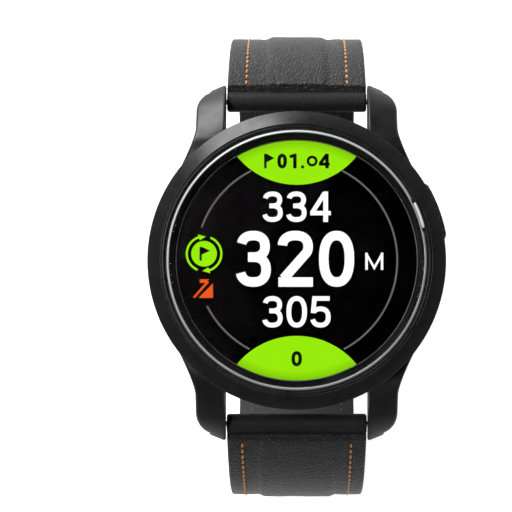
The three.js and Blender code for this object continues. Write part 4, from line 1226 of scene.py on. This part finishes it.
def build_buckle():
    _, bar_y, bar_z = box_middle("buckle_bar")
    frame_low = box_mm("buckle_frame")[0]
    front_y = frame_low.y + 1.25
    front_z = frame_low.z + 1.25
    arm_x = 10.25
    arm_rise = 0.35
    bend = 2.2
    arm_start = Vector((arm_x, bar_y, bar_z))
    arm_end = Vector((arm_x, front_y + 2.4, front_z + arm_rise))
    half = [Vector((arm_x, bar_y + 1.3, bar_z + 0.3))]
    half += [arm_start.lerp(arm_end, k / 8) for k in range(9)]
    for k in range(1, 9):
        angle = math.radians(90 * k / 8)
        x = arm_x - bend * (1 - math.cos(angle))
        y = front_y + bend - bend * math.sin(angle)
        half.append(Vector((x, y, lerp(front_z + arm_rise, front_z, k / 8))))
    half += [Vector((x, front_y, front_z)) for x in (6.5, 5, 3.5, 2, 1, 0.5)]
    path = half + [Vector((-p.x, p.y, p.z)) for p in reversed(half)]

    def section(share):
        from_end = min(share, 1 - share) * 2
        arm = 1 - smooth(from_end, 0.45, 0.75)
        end = smooth(from_end, 0.0, 0.05)
        return oval(lerp(2.5, 1.8, arm) * (0.75 + 0.25 * end), lerp(2.45, 3.1, arm) * (0.7 + 0.3 * end))

    frame_piece = piece("buckle_loop", *sweep(path, section), BUCKLE_STEEL, "buckle_steel", 40)
    bores = [rod_x(0.85, 8, 12, bar_y, bar_z), rod_x(0.85, -12, -8, bar_y, bar_z)]
    groove = block((-1.0, front_y - 3, front_z - 3), (1.0, front_y + 3, front_z - 0.1))
    cut(frame_piece, merged([*bores, groove]), 40)
    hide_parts("buckle_frame")
    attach(frame_piece, "buckle")

    corners = [
        strap_point(BUCKLE_BAR_AT - 0.6, -BUCKLE_BAR_DEPTH),
        strap_point(-9.6, -1.3),
        strap_point(-11.4, 2.7),
        Vector((0, front_y + 0.6, 0.55)),
        Vector((0, front_y - 0.9, 0.62)),
    ]
    path = []
    for k in range(len(corners) - 1):
        for j in range(6):
            t = j / 6
            before = corners[max(k - 1, 0)]
            after = corners[min(k + 2, len(corners) - 1)]
            a, b = corners[k], corners[k + 1]
            point = 0.5 * (
                2 * a + (b - before) * t + (2 * before - 5 * a + 4 * b - after) * t**2
                + (3 * a - before - 3 * b + after) * t**3
            )
            path.append(point)
    path.append(corners[-1])
    tongue_shape = []
    for k, point in enumerate(path):
        up = Vector((1, 0, 0)).cross(heading(path, k)).normalized()
        tip = 1 - 0.35 * smooth(k / len(path), 0.85, 1.0)
        tongue_shape.append([point + Vector((a, 0, 0)) + up * b for a, b in oval(1.5 * tip, 0.8 * tip, 3.2)])
    tongue = piece("buckle_pin", *skin(tongue_shape, caps=True), BUCKLE_STEEL, "buckle_steel", 40)
    cut(tongue, rod_x(1.3, -0.75, 0.75, bar_y, bar_z), 40, "UNION")
    cut(tongue, rod_x(0.9, -2, 2, bar_y, bar_z), 40)
    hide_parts("buckle_tongue")
    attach(tongue, "tongue")


# ---- Camera, floor and light ----

CAMERA_DISTANCE = 302.0
FRAME_WIDTH = 71.2
CAMERA_TILT = math.radians(2.3)
CAMERA_SHIFT_X = -0.0795
CAMERA_SHIFT_Y = 0.0098
TARGET_HEIGHT = 8
SENSOR_WIDTH = 36
FLOOR_REACH = 4000


def build_camera():
    data = bpy.data.cameras.new("camera")
    data.sensor_width = SENSOR_WIDTH
    data.lens = SENSOR_WIDTH * CAMERA_DISTANCE / FRAME_WIDTH
    data.shift_x = CAMERA_SHIFT_X
    data.shift_y = CAMERA_SHIFT_Y
    data.clip_end = 20
    camera = bpy.data.objects.new("camera", data)
    target = Vector((0, 0, BACK_Z + TARGET_HEIGHT))
    away = Vector((0, -math.sin(CAMERA_TILT), math.cos(CAMERA_TILT)))
    camera.location = (target + away * CAMERA_DISTANCE) * MM
    camera.rotation_euler = (CAMERA_TILT, 0, 0)
    bpy.context.scene.collection.objects.link(camera)
    bpy.context.scene.camera = camera


def build_floor():
    n = Nodes("floor_white")
    n.set(Base_Color=(0.6, 0.6, 0.6, 1), Roughness=0.9, Emission_Strength=0.92)
    n.shader.inputs["Emission Color"].default_value = (1, 1, 1, 1)
    rows = [[(x, y, 0) for x in (-FLOOR_REACH, FLOOR_REACH)] for y in (-FLOOR_REACH, FLOOR_REACH)]
    floor = piece("floor", *skin(rows, closed=False), n.material, None)


def area_light(name, azimuth, elevation, distance, size, power):
    data = bpy.data.lights.new(name, "AREA")
    data.shape = "RECTANGLE"
    data.size, data.size_y = size
    data.energy = power
    light = bpy.data.objects.new(name, data)
    a, e = math.radians(azimuth), math.radians(elevation)
    direction = Vector((math.cos(a) * math.cos(e), math.sin(a) * math.cos(e), math.sin(e)))
    centre = Vector((0, 0, BACK_Z * MM))
    light.location = centre + direction * distance
    light.rotation_euler = (-direction).to_track_quat("-Z", "Y").to_euler()
    light.visible_camera = False
    bpy.context.scene.collection.objects.link(light)


def build_light():
    area_light("key", 113, 18, 0.6, (0.3, 0.34), 5.6)
    area_light("overhead", 165, 66, 0.8, (0.2, 0.2), 4.2)
    area_light("fill", -70, 50, 0.7, (0.5, 0.4), 0.5)
    world = bpy.data.worlds.new("studio")
    world.use_nodes = True
    tree = world.node_tree
    nodes = tree.nodes
    place = nodes.new("ShaderNodeTexCoord")
    split = nodes.new("ShaderNodeSeparateXYZ")
    ramp = nodes.new("ShaderNodeValToRGB")
    for stop, position, grey in zip(ramp.color_ramp.elements, (0.0, 0.85), (0.28, 0.005)):
        stop.position = position
        stop.color = (grey, grey, grey, 1)
    tree.links.new(place.outputs["Generated"], split.inputs["Vector"])
    tree.links.new(split.outputs["Z"], ramp.inputs["Fac"])
    tree.links.new(ramp.outputs["Color"], nodes["Background"].inputs["Color"])
    nodes["Background"].inputs["Strength"].default_value = 1.0
    bpy.context.scene.world = world
    bpy.context.scene.view_settings.view_transform = "Standard"


build_camera()
build_floor()
build_light()
mid_case()
bezel()
trim()
glass_and_rings()
button()
back_cover()
display()
build_straps()
build_keepers()
build_buckle()
